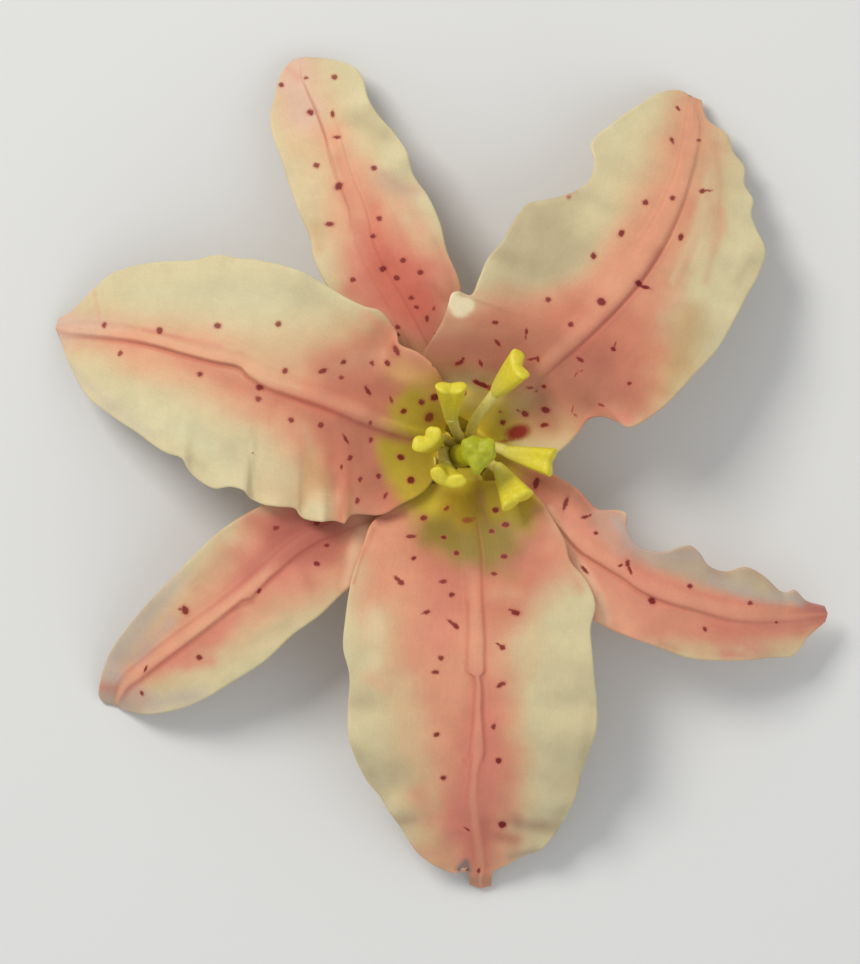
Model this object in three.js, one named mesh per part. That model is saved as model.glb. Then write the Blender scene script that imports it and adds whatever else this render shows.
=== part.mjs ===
// A lily bloom lying on its back: three broad petals over three narrower sepals on one
// receptacle, six stamens and a pistil. Millimetres, +Z up, the origin at the middle of the
// receptacle's cut face, which lies on the surface. The bloom opens upwards.

import * as THREE from "three";

// Receptacle, in millimetres
const CUT_RADIUS = 3.2;
const RECEPTACLE_RADIUS = 4.5;
const RECEPTACLE_TOP = 9.2;
const RECEPTACLE_SIDES = 24;
const SEAT_GAP = 0.3;

// Height of the inner face above the surface, by distance from the axis
const PETAL_RISE = [
  [4.9, 8.4], [8, 11.6], [12, 14.9], [18, 18.2], [28, 20.8], [38, 21.2],
  [48, 19.4], [58, 15.6], [66, 11], [74, 5], [79, 1.3],
];
const SEPAL_RISE = [
  [4.9, 5.6], [8, 8.3], [12, 11.4], [18, 14.6], [28, 17], [38, 17.4],
  [48, 16], [58, 13], [66, 9.4], [74, 5], [81, 2.4],
];

// Blade thickness at the midrib and at the margin, and how the margin's lift fades inwards
const RIB_THICKNESS = 1.1;
const MARGIN_THICKNESS = 0.65;
const LIFT_POWER = 2.4;

// Raised midrib with a narrow groove on each side
const GROOVE_DEPTH = 0.25;
const GROOVE_WIDTH = 0.8;
const RIDGE_COLUMNS = [0, 0.75, 1.4];
const RIDGE_ROOM = 5;

// How finely curves and blades are divided
const CURVE_STEPS = 600;
const OUTER_COLUMNS = 3;
const PETAL_ROWS = 34;
const SEPAL_ROWS = 26;

// Each margin runs from claw to tip as [x, y, lift above the bloom's bowl], the rib as [x, y].
// Left and right are as seen from the throat, looking out along the blade.
const TEPALS = [
  {
    name: "petal_left",
    rise: PETAL_RISE,
    rows: PETAL_ROWS,
    ridgeHeight: 0.6,
    ridgeHalfWidth: [1.6, 1.5],
    droop: { from: 0.96, depth: 0.6 },
    left: [
      [-5.5, -0.8, 0], [-5.4, -3.4, 1], [-7.2, -6.3, 1.9], [-11.6, -8.9, 2.1], [-15.4, -10.8, 1.6],
      [-20.3, -10.9, 0.4], [-21.8, -12.4, 1.4], [-23.8, -12, -0.2], [-25.8, -12.1, 1.2],
      [-29.2, -11.6, -0.9], [-30.4, -9.9, 0.2], [-33.5, -9.4, 1.1], [-36.6, -9, 0.4],
      [-38.2, -8.3, -0.8], [-39.6, -6.7, 1.2], [-42.3, -5.9, 0.5], [-45.4, -6.2, 0],
      [-48.9, -4.1, -1], [-51, -0.9, 1.1], [-54.4, 0.4, 0.5], [-59.2, 3.8, 0.8],
      [-63.4, 6.5, -0.3], [-68.2, 10.3, 0.3], [-71.3, 15.5, 0], [-73.2, 20.6, 0],
    ],
    rib: [
      [-4.6, 1.7], [-8.3, 3.1], [-12, 4.5], [-16, 6], [-20, 7.7], [-24, 9.3], [-28, 10.6],
      [-32, 12], [-36, 13.6], [-39, 15.4], [-41, 16.5], [-45, 17.3], [-50, 18.6], [-56, 20.3],
      [-60, 21.2], [-66, 22], [-74.4, 22.8],
    ],
    right: [
      [-3.7, 4.1, 0], [-3.1, 8, 1.1], [-4, 12.2, 2.1], [-5.6, 15.3, 2.6], [-8.6, 18, 2.6],
      [-12.2, 19.8, 1.9], [-12.8, 22.4, 0.3], [-15.4, 25.6, 1.1], [-18.2, 26.4, 1],
      [-21, 27.7, 0.9], [-25.8, 30.7, 0.1], [-30.2, 33, 0.9], [-37.2, 34.9, -0.6], [-41, 35.3, -0.7],
      [-44.5, 35.8, 0.6], [-49.2, 34.9, 0.3], [-54.4, 34.7, -0.2], [-59.6, 34, 0.4],
      [-64.1, 32.4, 0.4], [-67.1, 29.9, 0.5], [-71.6, 25.6, 0.1], [-73.6, 24.6, 0],
    ],
  },
  {
    name: "petal_upper_right",
    rise: PETAL_RISE,
    rows: PETAL_ROWS,
    ridgeHeight: 0.6,
    ridgeHalfWidth: [1.7, 1.5],
    droop: { from: 0.96, depth: 0.6 },
    left: [
      [1.2, 5.4, -0.2], [-2.6, 7.6, -0.3], [-6, 10.8, -0.7], [-8, 14.2, -1], [-7.8, 17.8, -0.8],
      [-6, 20.8, -0.4], [-4.4, 23.5, 0.1], [-3.4, 26.2, 0.8], [-2.4, 28.8, 1.2], [-0.9, 28.7, 1.3],
      [1, 28.6, 0.9], [2.3, 31.4, 0.4], [3.7, 34.9, -0.7], [6.3, 37.8, 0.8], [9.2, 43, 0.4],
      [11.2, 45.1, -0.2], [15.6, 46.1, -1.1], [19.9, 47.5, -1.3], [22.4, 49.8, -0.4],
      [23, 53, 0.6], [22.6, 56, 1], [25.7, 59.1, 0.6], [31.2, 63, 0.1], [35, 65.3, 0.3],
      [38.8, 65.7, 0], [40.2, 64.6, 0],
    ],
    rib: [
      [3.2, 3.8], [6.5, 8], [10.2, 12.2], [14, 16.2], [17.5, 19.3], [20.5, 22], [23.5, 24.9],
      [26.5, 28], [29.5, 31.5], [32, 35], [34.2, 38.7], [36, 42], [37.6, 45.5], [38.9, 49],
      [39.9, 52.5], [40.6, 56], [41, 60], [41.3, 64.6],
    ],
    right: [
      [5.1, 2.1, 0], [9.5, -0.3, 0.2], [13.8, -0.9, 0.2], [17, 0.7, 0], [20.2, 3.9, -0.4],
      [22, 6.2, -0.8], [24, 6.6, -0.9], [26.8, 5.8, 0], [28.8, 4.8, 0.8], [31.2, 5.5, 0.7],
      [35.1, 8.1, 0.4], [40.5, 13.7, -0.7], [45.3, 18.9, -0.9], [48.6, 24.8, 0.8],
      [51, 29.3, 0], [52.8, 32.4, -1], [54, 36.6, 0.9], [52.4, 40.5, 0.6], [51.5, 43.2, -0.5],
      [51.8, 45.9, 0.3], [50.3, 48.6, -0.6], [50.3, 51.7, 0.5], [48.4, 54.4, -0.3],
      [47.2, 57.6, 0.4], [43.6, 60.4, 0], [42.5, 64, 0],
    ],
  },
  {
    name: "petal_bottom",
    rise: PETAL_RISE,
    rows: PETAL_ROWS,
    ridgeHeight: 0.4,
    ridgeHalfWidth: [1.6, 0.9],
    droop: { from: 0.95, depth: 0.8 },
    left: [
      [3, -4.7, 0], [7.2, -4.8, 0.2], [11, -6.2, 0.4], [13.7, -8.8, 0.4], [15.8, -12.1, 0.2],
      [17.7, -15.7, 0], [18.6, -19.1, 0.2], [21.5, -22.7, 0.6], [23.2, -27.2, 0.4],
      [22.4, -31.3, -0.2], [22.7, -36, 0.4], [23.2, -41.2, -0.2], [23.6, -44.6, -0.9],
      [23.4, -49.6, 0.8], [22.1, -53.9, 0], [20.9, -57.4, -0.9], [19.5, -62.4, 0.7],
      [17.2, -66.9, -0.9], [15, -69.9, 0.2], [13, -71.8, 0.4], [11.3, -72.2, -0.5], [7.5, -74.1, 0],
      [4.9, -75.5, 0], [4.7, -78.1, 0],
    ],
    rib: [
      [0.4, -4.9], [0.8, -11.5], [1.2, -18], [1.5, -26], [1.8, -33], [1.9, -39], [2.2, -42],
      [2.1, -46], [2, -50], [1.8, -54], [1.3, -58], [1.2, -62], [1.6, -66], [2.2, -70],
      [2.6, -74], [2.7, -78.7],
    ],
    right: [
      [-3, -4.9, -0.2], [-7.4, -5.6, -0.8], [-11.4, -8, -1.1], [-15, -10.4, -0.9],
      [-17.2, -12.8, -0.2], [-18.2, -15.6, 0.4], [-20.6, -23, 0.6], [-21.9, -31, 0.5],
      [-22.1, -35, 0.2], [-21, -39.6, 0.3], [-21.3, -45.6, -0.7], [-21.3, -50, 0.4],
      [-20.4, -53.6, 0.8], [-17.9, -58.9, -0.9], [-15.6, -61.6, -0.3], [-13.9, -64.5, 0.7],
      [-11.8, -67.4, -0.7], [-9.2, -71.5, 0.3], [-6.5, -73.8, 0.3], [-4.3, -75, 0],
      [-1.9, -75.6, 0.2], [-0.7, -74.7, -0.5], [0.3, -75.6, -0.4], [0.7, -77.9, 0],
    ],
  },
  {
    name: "sepal_top",
    rise: SEPAL_RISE,
    rows: SEPAL_ROWS,
    ridgeHeight: 0.15,
    ridgeHalfWidth: [1.7, 1],
    droop: { from: 0.95, depth: 0.6 },
    left: [
      [-4.1, 3.6, 0], [-8, 9, 0], [-13, 15.5, 0], [-19, 22.6, 0], [-25.4, 30.8, 0.3],
      [-27.5, 35.5, 0.2], [-28.1, 38.6, -0.6], [-30.1, 43.9, 0.4], [-32.1, 49.2, -0.2],
      [-33.5, 53.9, 0.5], [-34.9, 57.9, 0.2], [-35.3, 61.2, 0.6], [-34.4, 65, 0],
      [-33.2, 69, 0.3], [-31.4, 71.2, 0],
    ],
    rib: [
      [-1.8, 4.5], [-4.5, 11], [-8, 18.5], [-11.4, 25], [-15, 31.3], [-17, 35], [-18.2, 38],
      [-18.8, 41], [-19.7, 44.5], [-21, 47.5], [-22.3, 51], [-23.3, 54.5], [-23.8, 57], [-25, 60],
      [-26.4, 63], [-27.8, 66], [-28.9, 69], [-29.1, 71.9],
    ],
    right: [
      [1.7, 5.2, 0], [0.3, 11, 0], [-0.4, 18, 0], [-0.6, 25, 0], [-1.1, 30.6, 0.3],
      [-3.4, 36.4, 0.2], [-4.6, 41.4, 0.5], [-6.9, 46.5, 0.1], [-9.3, 50.1, -0.7], [-10.7, 54.5, 0.6],
      [-13.1, 58.2, -0.3], [-15.5, 60.9, -0.8], [-17.6, 64, 0.5], [-19.3, 69, 0.2],
      [-22.6, 70.9, 0.1], [-26.8, 71.6, 0],
    ],
  },
  {
    name: "sepal_lower_right",
    rise: SEPAL_RISE,
    rows: SEPAL_ROWS,
    ridgeHeight: 0.6,
    ridgeHalfWidth: [1.6, 1.1],
    droop: { from: 0.95, depth: 0.6 },
    left: [
      [5.3, 1.5, 0], [11, -1.4, 0], [16, -3.8, 0.1], [20.2, -6.5, 0.3], [23.6, -9.8, -0.5],
      [26.6, -10, 0.4], [28.6, -10.7, 1.1], [28.8, -13.5, 0.9], [31.2, -16.7, 0.8],
      [35.6, -17.6, 0.8], [40.2, -16.5, 1.2], [42.1, -17.9, 0.4], [43.6, -20, -0.3],
      [46.6, -21.1, -0.6], [50.3, -20.4, 0.6], [53.6, -22, 0.5], [57.2, -24.8, -0.6],
      [59.2, -24.5, 0.4], [61.4, -26.4, 0.2], [64.8, -27.4, 0],
    ],
    rib: [
      [4.4, -2.2], [9, -5.8], [13.5, -9.2], [16.8, -12], [20.5, -16.2], [24.5, -18.8],
      [28, -20.9], [32, -23.6], [36, -25.3], [41.5, -26.9], [47, -28.4], [52, -29], [58, -29],
      [65.5, -28.8],
    ],
    right: [
      [2.5, -4.9, 0], [6.8, -9.5, 0], [11, -16, 0], [16, -23, 0], [20.4, -28, 0], [25, -31.1, 0.2],
      [29.3, -32.9, 0], [34.3, -34.7, -0.5], [40, -36.7, 0.3], [48.5, -37.3, 0.4],
      [54.9, -36.8, -0.3], [59.2, -36.3, 0.2], [61.8, -33, 0.1], [65, -30.2, 0],
    ],
  },
  {
    name: "sepal_lower_left",
    rise: SEPAL_RISE,
    rows: SEPAL_ROWS,
    ridgeHeight: 0.5,
    ridgeHalfWidth: [1.6, 1.2],
    droop: { from: 0.9, depth: 3 },
    left: [
      [-2.5, -4.9, 0], [-6, -10, 0], [-12, -16.5, 0], [-17.5, -21.2, 0], [-22, -25, 0.1],
      [-26.3, -29, 0.3], [-31.2, -32.6, 0], [-36.1, -37.2, 0.3], [-41.5, -40.8, 0],
      [-48.8, -45, 0.3], [-54, -46.6, 0], [-58.6, -47, 0.1], [-62.2, -46.2, 0],
    ],
    rib: [
      [-3.9, -2.9], [-10, -6.5], [-18, -10.5], [-25, -13.8], [-30.5, -17], [-35.5, -21.2],
      [-40, -25], [-45, -28.9], [-50.5, -33], [-56, -36.9], [-59.4, -39.4], [-61.7, -41.6],
      [-63.4, -45.6],
    ],
    right: [
      [-5.5, 0, 0], [-11, -2.5, 0], [-20, -4, 0], [-30, -6, 0], [-38.2, -10, 0],
      [-44.1, -13.7, 0.2], [-50.2, -19.5, 0], [-55, -24.3, 0.2], [-60.1, -30.1, 0.3],
      [-64.3, -36, 0], [-66, -41, 0.2], [-66.2, -44, 0], [-65, -45.4, 0],
    ],
  },
];

// Stamens: the filament's foot by angle on the receptacle and its route as [x, y, z], then the
// anther's narrow end, the middle of its broad end, the direction across its broad end, that
// end's half width and half depth, how soon the anther widens (less is sooner) and how far its
// broad end bends
const FILAMENT_RADIUS = 0.85;
const FILAMENT_FOOT_RADIUS = 3.2;
const FILAMENT_SIDES = 8;
const FILAMENT_RINGS = 7;
const STAMENS = [
  {
    foot: 75, route: [[1.6, 6, 13.6]], base: [5.2, 10.9, 18.6],
    head: [9.5, 15.8, 24.6], across: [-0.28, 0.94, -0.62],
    halfWidth: 3, halfDepth: 1.6, flare: 0.6, bend: -0.8,
  },
  {
    foot: 110, route: [[-1.8, 4.2, 13]], base: [-2.7, 5.9, 16.4],
    head: [-2.7, 11.6, 23.4], across: [1, 0.02, 0],
    halfWidth: 2.5, halfDepth: 1.6, flare: 0.8, bend: -0.9,
  },
  {
    foot: 145, route: [[-4.3, 2.8, 12.8]], base: [-5.4, 1.6, 16.6],
    head: [-7.1, 2.7, 24.2], across: [0.82, 0.57, 0],
    halfWidth: 2.5, halfDepth: 1.7, flare: 0.6, bend: 1.3,
  },
  {
    foot: 180, route: [[-4.2, 0.5, 13]], base: [-3.7, -2, 17.4],
    head: [-3.3, -4.2, 24.4], across: [0.93, -0.36, 0],
    halfWidth: 2.9, halfDepth: 1.5, flare: 0.6, bend: 1.9,
  },
  {
    foot: 20, route: [[4.6, 1.4, 13.4]], base: [7.2, 0.4, 17.6],
    head: [14.8, -1.4, 22.8], across: [0.2, 0.98, 0],
    halfWidth: 2.5, halfDepth: 1.4, flare: 0.8, bend: 0.4,
  },
  {
    foot: 330, route: [[4.3, -1.7, 13.4]], base: [5.7, -2.2, 17.2],
    head: [9, -8, 23], across: [0.84, 0.55, 0],
    halfWidth: 3, halfDepth: 1.4, flare: 0.9, bend: 0.9,
  },
];

// Anther: a trumpet that flattens into a broad, notched end
const ANTHER_NARROW = 1;
const ANTHER_NOTCH = 0.5;
const ANTHER_SIDES = 14;
const ANTHER_RINGS = 6;
const ANTHER_CAP = [
  [0.55, 0.86],
  [0.85, 0.5],
];

// Pistil: ovary, style and three-lobed stigma as [x, y, z, radius, lobe depth]
const PISTIL_SIDES = 18;
const PISTIL = [
  [-0.1, -0.1, 9.5, 1.8, 0], [-0.5, -0.2, 11, 2.1, 0], [-0.9, -0.3, 13.5, 2.2, 0],
  [-0.8, -0.3, 17, 2, 0], [-0.1, -0.1, 21, 1.8, 0.05], [1.1, 0.2, 24.2, 1.8, 0.1],
  [1.8, 0.3, 26, 2.6, 0.16], [2.1, 0.2, 27.2, 3.1, 0.15], [2.1, 0.2, 28.1, 2.5, 0.18],
  [2.1, 0.2, 28.5, 1.4, 0.18],
];
const STIGMA_LOBES = 3;
const STIGMA_TURN = 0.37;

const COLOURS = {
  petal: 0xd9a27a,
  sepal: 0xcf8468,
  receptacle: 0x8a9a3a,
  filament: 0xc9c06a,
  anther: 0xe4dc4c,
  pistil: 0xa8b02e,
};

const material = (colour, roughness) =>
  new THREE.MeshStandardMaterial({ color: colour, roughness, metalness: 0 });

const vector = ([x, y, z = 0]) => new THREE.Vector3(x, y, z);

// A closed mesh from its points and triangles
function solid(name, points, triangles, surface) {
  const geometry = new THREE.BufferGeometry().setFromPoints(points);
  geometry.setIndex(triangles.flat());
  geometry.computeVertexNormals();
  const mesh = new THREE.Mesh(geometry, surface);
  mesh.name = name;
  return mesh;
}

// A closed solid through rings of equal length, each turning anticlockwise about the way along
function loft(name, rings, surface) {
  const sides = rings[0].length;
  const middle = (ring) =>
    ring.reduce((sum, p) => sum.add(p), new THREE.Vector3()).divideScalar(sides);
  const points = [...rings.flat(), middle(rings[0]), middle(rings[rings.length - 1])];
  const foot = points.length - 2;
  const top = points.length - 1;
  const last = (rings.length - 1) * sides;
  const triangles = [];
  for (let i = 0; i < sides; i++) {
    const next = (i + 1) % sides;
    for (let k = 0; k < last; k += sides) {
      triangles.push([k + i, k + next, k + sides + next]);
      triangles.push([k + i, k + sides + next, k + sides + i]);
    }
    triangles.push([foot, next, i]);
    triangles.push([top, last + i, last + next]);
  }
  return solid(name, points, triangles, surface);
}

// A smooth curve, read by share of its length
function curveThrough(points) {
  const curve = new THREE.CatmullRomCurve3(points.map(vector));
  curve.arcLengthDivisions = CURVE_STEPS;
  return curve;
}

// Height of the bowl at a distance from the axis: a smooth line through the profile's points
function riseAt(profile, r) {
  const last = profile.length - 1;
  const x = THREE.MathUtils.clamp(r, profile[0][0], profile[last][0]);
  let i = 0;
  while (i < last - 1 && x > profile[i + 1][0]) i++;
  const slope = (k) => {
    const a = profile[Math.max(k - 1, 0)];
    const b = profile[Math.min(k + 1, last)];
    return (b[1] - a[1]) / (b[0] - a[0]);
  };
  const [x0, y0] = profile[i];
  const [x1, y1] = profile[i + 1];
  const span = x1 - x0;
  const t = (x - x0) / span;
  const t2 = t * t;
  const t3 = t2 * t;
  return (
    y0 * (2 * t3 - 3 * t2 + 1) +
    y1 * (3 * t2 - 2 * t3) +
    slope(i) * span * (t3 - 2 * t2 + t) +
    slope(i + 1) * span * (t3 - t2)
  );
}

// A round hump of height 1 that ends at x = -1 and x = 1
const hump = (x) => (Math.abs(x) < 1 ? (1 - x * x) ** 2 : 0);

// Height of the midrib's ridge and grooves at a distance from the rib line
function ridgeRelief(distance, halfWidth, height) {
  const groove = hump((distance - halfWidth) / GROOVE_WIDTH);
  return height * hump(distance / (halfWidth + GROOVE_WIDTH / 2)) - GROOVE_DEPTH * groove;
}

// One tepal: a blade lofted between its left margin, rib and right margin
function tepal(spec, surface) {
  const curves = { left: curveThrough(spec.left), right: curveThrough(spec.right) };
  const rib = curveThrough(spec.rib);
  const half = RIDGE_COLUMNS.length - 1 + OUTER_COLUMNS;
  const columns = 2 * half + 1;
  const bowl = [];
  const relief = [];
  const edgeShare = [];
  for (let row = 0; row <= spec.rows; row++) {
    const v = row / spec.rows;
    const middle = rib.getPointAt(v);
    const [w0, w1] = spec.ridgeHalfWidth;
    const tail = Math.max(0, (v - spec.droop.from) / (1 - spec.droop.from));
    for (let column = -half; column <= half; column++) {
      const margin = (column < 0 ? curves.right : curves.left).getPointAt(v);
      const reach = Math.hypot(margin.x - middle.x, margin.y - middle.y);
      const room = Math.min(1, reach / RIDGE_ROOM);
      const halfWidth = THREE.MathUtils.lerp(w0, w1, v) * room;
      const k = Math.abs(column);
      const inner = RIDGE_COLUMNS.length - 1;
      const ridgeEdge = Math.min(RIDGE_COLUMNS[inner] * halfWidth, reach / 2) / reach;
      const u =
        k <= inner
          ? (ridgeEdge * RIDGE_COLUMNS[k]) / RIDGE_COLUMNS[inner]
          : ridgeEdge + ((1 - ridgeEdge) * (k - inner)) / OUTER_COLUMNS;
      const x = THREE.MathUtils.lerp(middle.x, margin.x, u);
      const y = THREE.MathUtils.lerp(middle.y, margin.y, u);
      const lift = margin.z * u ** LIFT_POWER - spec.droop.depth * tail ** 2;
      bowl.push(new THREE.Vector3(x, y, riseAt(spec.rise, Math.hypot(x, y)) + lift));
      relief.push(room * ridgeRelief(u * reach, halfWidth, spec.ridgeHeight));
      edgeShare.push(u);
    }
  }
  const at = (row, column) =>
    bowl[
      THREE.MathUtils.clamp(row, 0, spec.rows) * columns + THREE.MathUtils.clamp(column, 0, columns - 1)
    ];
  const top = [];
  const under = [];
  for (let row = 0; row <= spec.rows; row++) {
    for (let column = 0; column < columns; column++) {
      const i = row * columns + column;
      const along = at(row + 1, column).clone().sub(at(row - 1, column));
      const across = at(row, column + 1).clone().sub(at(row, column - 1));
      const normal = along.cross(across).normalize();
      const thickness = THREE.MathUtils.lerp(RIB_THICKNESS, MARGIN_THICKNESS, edgeShare[i]);
      const point = bowl[i].clone().addScaledVector(normal, -thickness);
      point.z = Math.max(point.z, 0);
      under.push(point);
      top.push(bowl[i].clone().setZ(Math.max(bowl[i].z + relief[i], point.z + MARGIN_THICKNESS)));
    }
  }
  const under0 = top.length;
  const triangles = [];
  for (let row = 0; row < spec.rows; row++) {
    for (let column = 0; column < columns - 1; column++) {
      const a = row * columns + column;
      const [b, c, d] = [a + 1, a + columns + 1, a + columns];
      triangles.push([a, c, b], [a, d, c]);
      triangles.push([under0 + a, under0 + b, under0 + c], [under0 + a, under0 + c, under0 + d]);
    }
  }
  const rim = [];
  for (let column = 0; column < columns - 1; column++) rim.push(column);
  for (let row = 0; row < spec.rows; row++) rim.push(row * columns + columns - 1);
  for (let column = columns - 1; column > 0; column--) rim.push(spec.rows * columns + column);
  for (let row = spec.rows; row > 0; row--) rim.push(row * columns);
  rim.forEach((a, i) => {
    const b = rim[(i + 1) % rim.length];
    triangles.push([a, b, under0 + b], [a, under0 + b, under0 + a]);
  });
  return solid(spec.name, [...top, ...under], triangles, surface);
}

// Receptacle: a short knob with a flat cut face below and a flat top that carries the stamens
function receptacle() {
  const profile = [
    [0, 0], [CUT_RADIUS, 0], [CUT_RADIUS, 1.2], [CUT_RADIUS + 0.7, 2.2], [RECEPTACLE_RADIUS, 3.2],
    [RECEPTACLE_RADIUS, RECEPTACLE_TOP - 0.5], [RECEPTACLE_RADIUS - 0.4, RECEPTACLE_TOP],
    [0, RECEPTACLE_TOP],
  ];
  const geometry = new THREE.LatheGeometry(
    profile.map(([r, z]) => new THREE.Vector2(r, z)),
    RECEPTACLE_SIDES,
  );
  const mesh = new THREE.Mesh(geometry.rotateX(Math.PI / 2), material(COLOURS.receptacle, 0.6));
  mesh.name = "receptacle";
  return mesh;
}

// A ring of points round a centre, in the plane of two directions
function ringOf(sides, place) {
  return Array.from({ length: sides }, (_, i) => place((i / sides) * 2 * Math.PI));
}

// Filament: a slim stalk from the receptacle's top to just below its anther
function filament(name, stamen) {
  const turn = THREE.MathUtils.degToRad(stamen.foot);
  const foot = new THREE.Vector3(
    FILAMENT_FOOT_RADIUS * Math.cos(turn),
    FILAMENT_FOOT_RADIUS * Math.sin(turn),
    RECEPTACLE_TOP + SEAT_GAP,
  );
  const base = vector(stamen.base);
  const toHead = vector(stamen.head).sub(base).normalize();
  const end = base.clone().addScaledVector(toHead, -SEAT_GAP);
  const line = new THREE.CatmullRomCurve3([foot, ...stamen.route.map(vector), end]);
  const rings = [];
  for (let k = 0; k <= FILAMENT_RINGS; k++) {
    const t = k / FILAMENT_RINGS;
    const centre = line.getPointAt(t);
    const way = new THREE.Vector3(0, 0, 1).lerp(toHead, t).normalize();
    const side = new THREE.Vector3(1, 0, 0).addScaledVector(way, -way.x).normalize();
    const other = way.clone().cross(side);
    rings.push(
      ringOf(FILAMENT_SIDES, (a) =>
        centre
          .clone()
          .addScaledVector(side, FILAMENT_RADIUS * Math.cos(a))
          .addScaledVector(other, FILAMENT_RADIUS * Math.sin(a)),
      ),
    );
  }
  return loft(name, rings, material(COLOURS.filament, 0.6));
}

// Anther: rings that widen from a round narrow end into a bent, rounded broad end
function anther(name, stamen) {
  const base = vector(stamen.base);
  const head = vector(stamen.head);
  const way = head.clone().sub(base);
  const length = way.length();
  way.normalize();
  const across = vector(stamen.across).addScaledVector(way, -way.dot(vector(stamen.across))).normalize();
  const outward = way.clone().cross(across);
  const stations = [];
  for (let k = 0; k < ANTHER_RINGS; k++) stations.push([k / (ANTHER_RINGS - 1), 0, 1]);
  for (const [rise, scale] of ANTHER_CAP) stations.push([1, rise, scale]);
  const rings = stations.map(([t, rise, scale]) => {
    const spread = t ** stamen.flare;
    const width = THREE.MathUtils.lerp(ANTHER_NARROW, stamen.halfWidth, spread) * scale;
    const depth = THREE.MathUtils.lerp(ANTHER_NARROW, stamen.halfDepth, spread) * scale;
    return ringOf(ANTHER_SIDES, (a) => {
      const x = width * Math.cos(a);
      const y = depth * Math.sin(a);
      const bend = stamen.bend * spread * ((x / stamen.halfWidth) ** 2 - 0.4);
      const lean = Math.atan((2 * stamen.bend * spread * x) / stamen.halfWidth ** 2);
      const ahead = ANTHER_NOTCH * t ** 4 * ((2 * Math.abs(x)) / stamen.halfWidth - 1);
      return base
        .clone()
        .addScaledVector(way, length * t + rise + ahead)
        .addScaledVector(across, x - y * Math.sin(lean))
        .addScaledVector(outward, y * Math.cos(lean) + bend);
    });
  });
  return loft(name, rings, material(COLOURS.anther, 0.5));
}

// Pistil: stacked rings that swell into the three lobes of the stigma
function pistil() {
  const rings = PISTIL.map(([x, y, z, radius, lobe]) =>
    ringOf(PISTIL_SIDES, (a) => {
      const r = radius * (1 + lobe * Math.cos(STIGMA_LOBES * (a - STIGMA_TURN)));
      return new THREE.Vector3(x + r * Math.cos(a), y + r * Math.sin(a), z);
    }),
  );
  return loft("pistil", rings, material(COLOURS.pistil, 0.55));
}

const bloom = new THREE.Group();
bloom.add(receptacle());
for (const spec of TEPALS) {
  const colour = spec.rise === PETAL_RISE ? COLOURS.petal : COLOURS.sepal;
  bloom.add(tepal(spec, material(colour, 0.6)));
}
STAMENS.forEach((stamen, i) => {
  bloom.add(filament(`filament_${i + 1}`, stamen), anther(`anther_${i + 1}`, stamen));
});
bloom.add(pistil());

export default bloom;
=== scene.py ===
# A spotted lily bloom lying on its back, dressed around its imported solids. Lengths are in
# millimetres until a mesh is made, in the frame of the solids: +Z up, the origin at the middle
# of the receptacle's cut face.
import math

import bpy
import numpy as np
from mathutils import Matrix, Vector, noise

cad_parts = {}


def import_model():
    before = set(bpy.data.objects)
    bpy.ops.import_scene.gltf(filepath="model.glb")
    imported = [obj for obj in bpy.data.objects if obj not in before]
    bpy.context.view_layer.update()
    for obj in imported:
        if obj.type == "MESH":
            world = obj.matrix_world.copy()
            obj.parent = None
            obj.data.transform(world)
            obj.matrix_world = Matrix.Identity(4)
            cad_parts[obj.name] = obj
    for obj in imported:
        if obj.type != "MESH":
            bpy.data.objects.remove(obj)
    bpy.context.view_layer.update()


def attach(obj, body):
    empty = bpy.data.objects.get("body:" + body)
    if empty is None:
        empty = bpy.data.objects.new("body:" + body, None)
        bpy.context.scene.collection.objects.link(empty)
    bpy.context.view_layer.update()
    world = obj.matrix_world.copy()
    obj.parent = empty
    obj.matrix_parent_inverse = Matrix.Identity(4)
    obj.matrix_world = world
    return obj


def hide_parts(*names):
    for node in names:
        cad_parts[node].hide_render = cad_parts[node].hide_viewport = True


MM = 0.001

# Camera: straight down on the bloom, from far off
VIEW_CENTRE = (-6.48, -5.04, 10.0)
VIEW_HEIGHT = 173.5
LENS = 800.0
SENSOR = 36.0
CLIP_END_METRES = 20

# Lights, in metres and watts: name, place, size, power, colour
LIGHTS = [
    ("key", (-0.62, 0.66, 0.95), 0.5, 9.5, (1.0, 0.97, 0.92)),
    ("fill", (0.7, -0.5, 0.9), 1.2, 2.6, (0.95, 0.97, 1.0)),
]
SKY = (0.95, 0.97, 1.0)
SKY_STRENGTH = 0.5
FLOOR_HALF_METRES = 3.0
FLOOR_COLOUR = (226, 226, 224)
FLOOR_LOOK = {"Roughness": 0.9, "Specular_IOR_Level": 0.1}

# Palette, sRGB 0 to 255
CREAM = (216, 202, 158)
PALE = (226, 214, 170)
GREY_CREAM = (190, 174, 136)
BUFF = (220, 182, 138)
BLUSH = (221, 182, 158)
PEACH = (225, 153, 120)
SALMON = (208, 127, 98)
ROSE = (218, 130, 110)
DEEP_ROSE = (198, 112, 92)
MAROON = (178, 98, 80)
BROWN_PINK = (182, 112, 88)
TAN = (200, 156, 106)
APRICOT = (234, 180, 116)
LIME = (198, 174, 54)
OLIVE = (150, 126, 52)
GOLD = (178, 142, 30)
# Painted shade in a dent and on the peg at the bottom petal's tip
SLATE_SHADE = (132, 118, 114)
# Painted shade, ash grey, on margins and tips turned from the light
ASH_SHADE = (186, 172, 162)
# Painted light that brightens the yellow deep in the throat, where it lies in shade
THROAT_LIGHT = (246, 222, 72)
# Painted light over the shadows that one blade casts on another
LIGHT_IN_SHADOW = (255, 206, 170)
# Painted light over shade on a fold and a flap
PAINTED_LIGHT = (242, 226, 186)
CORAL = (208, 104, 80)
# Painted shade in the folds across a tip and on a tip bent down
FOLD_SHADE = (158, 118, 94)
SAGE = (186, 190, 158)
# Painted shade, dusky, on margins, dips and tips
DUSK_SHADE = (196, 158, 134)
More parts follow.
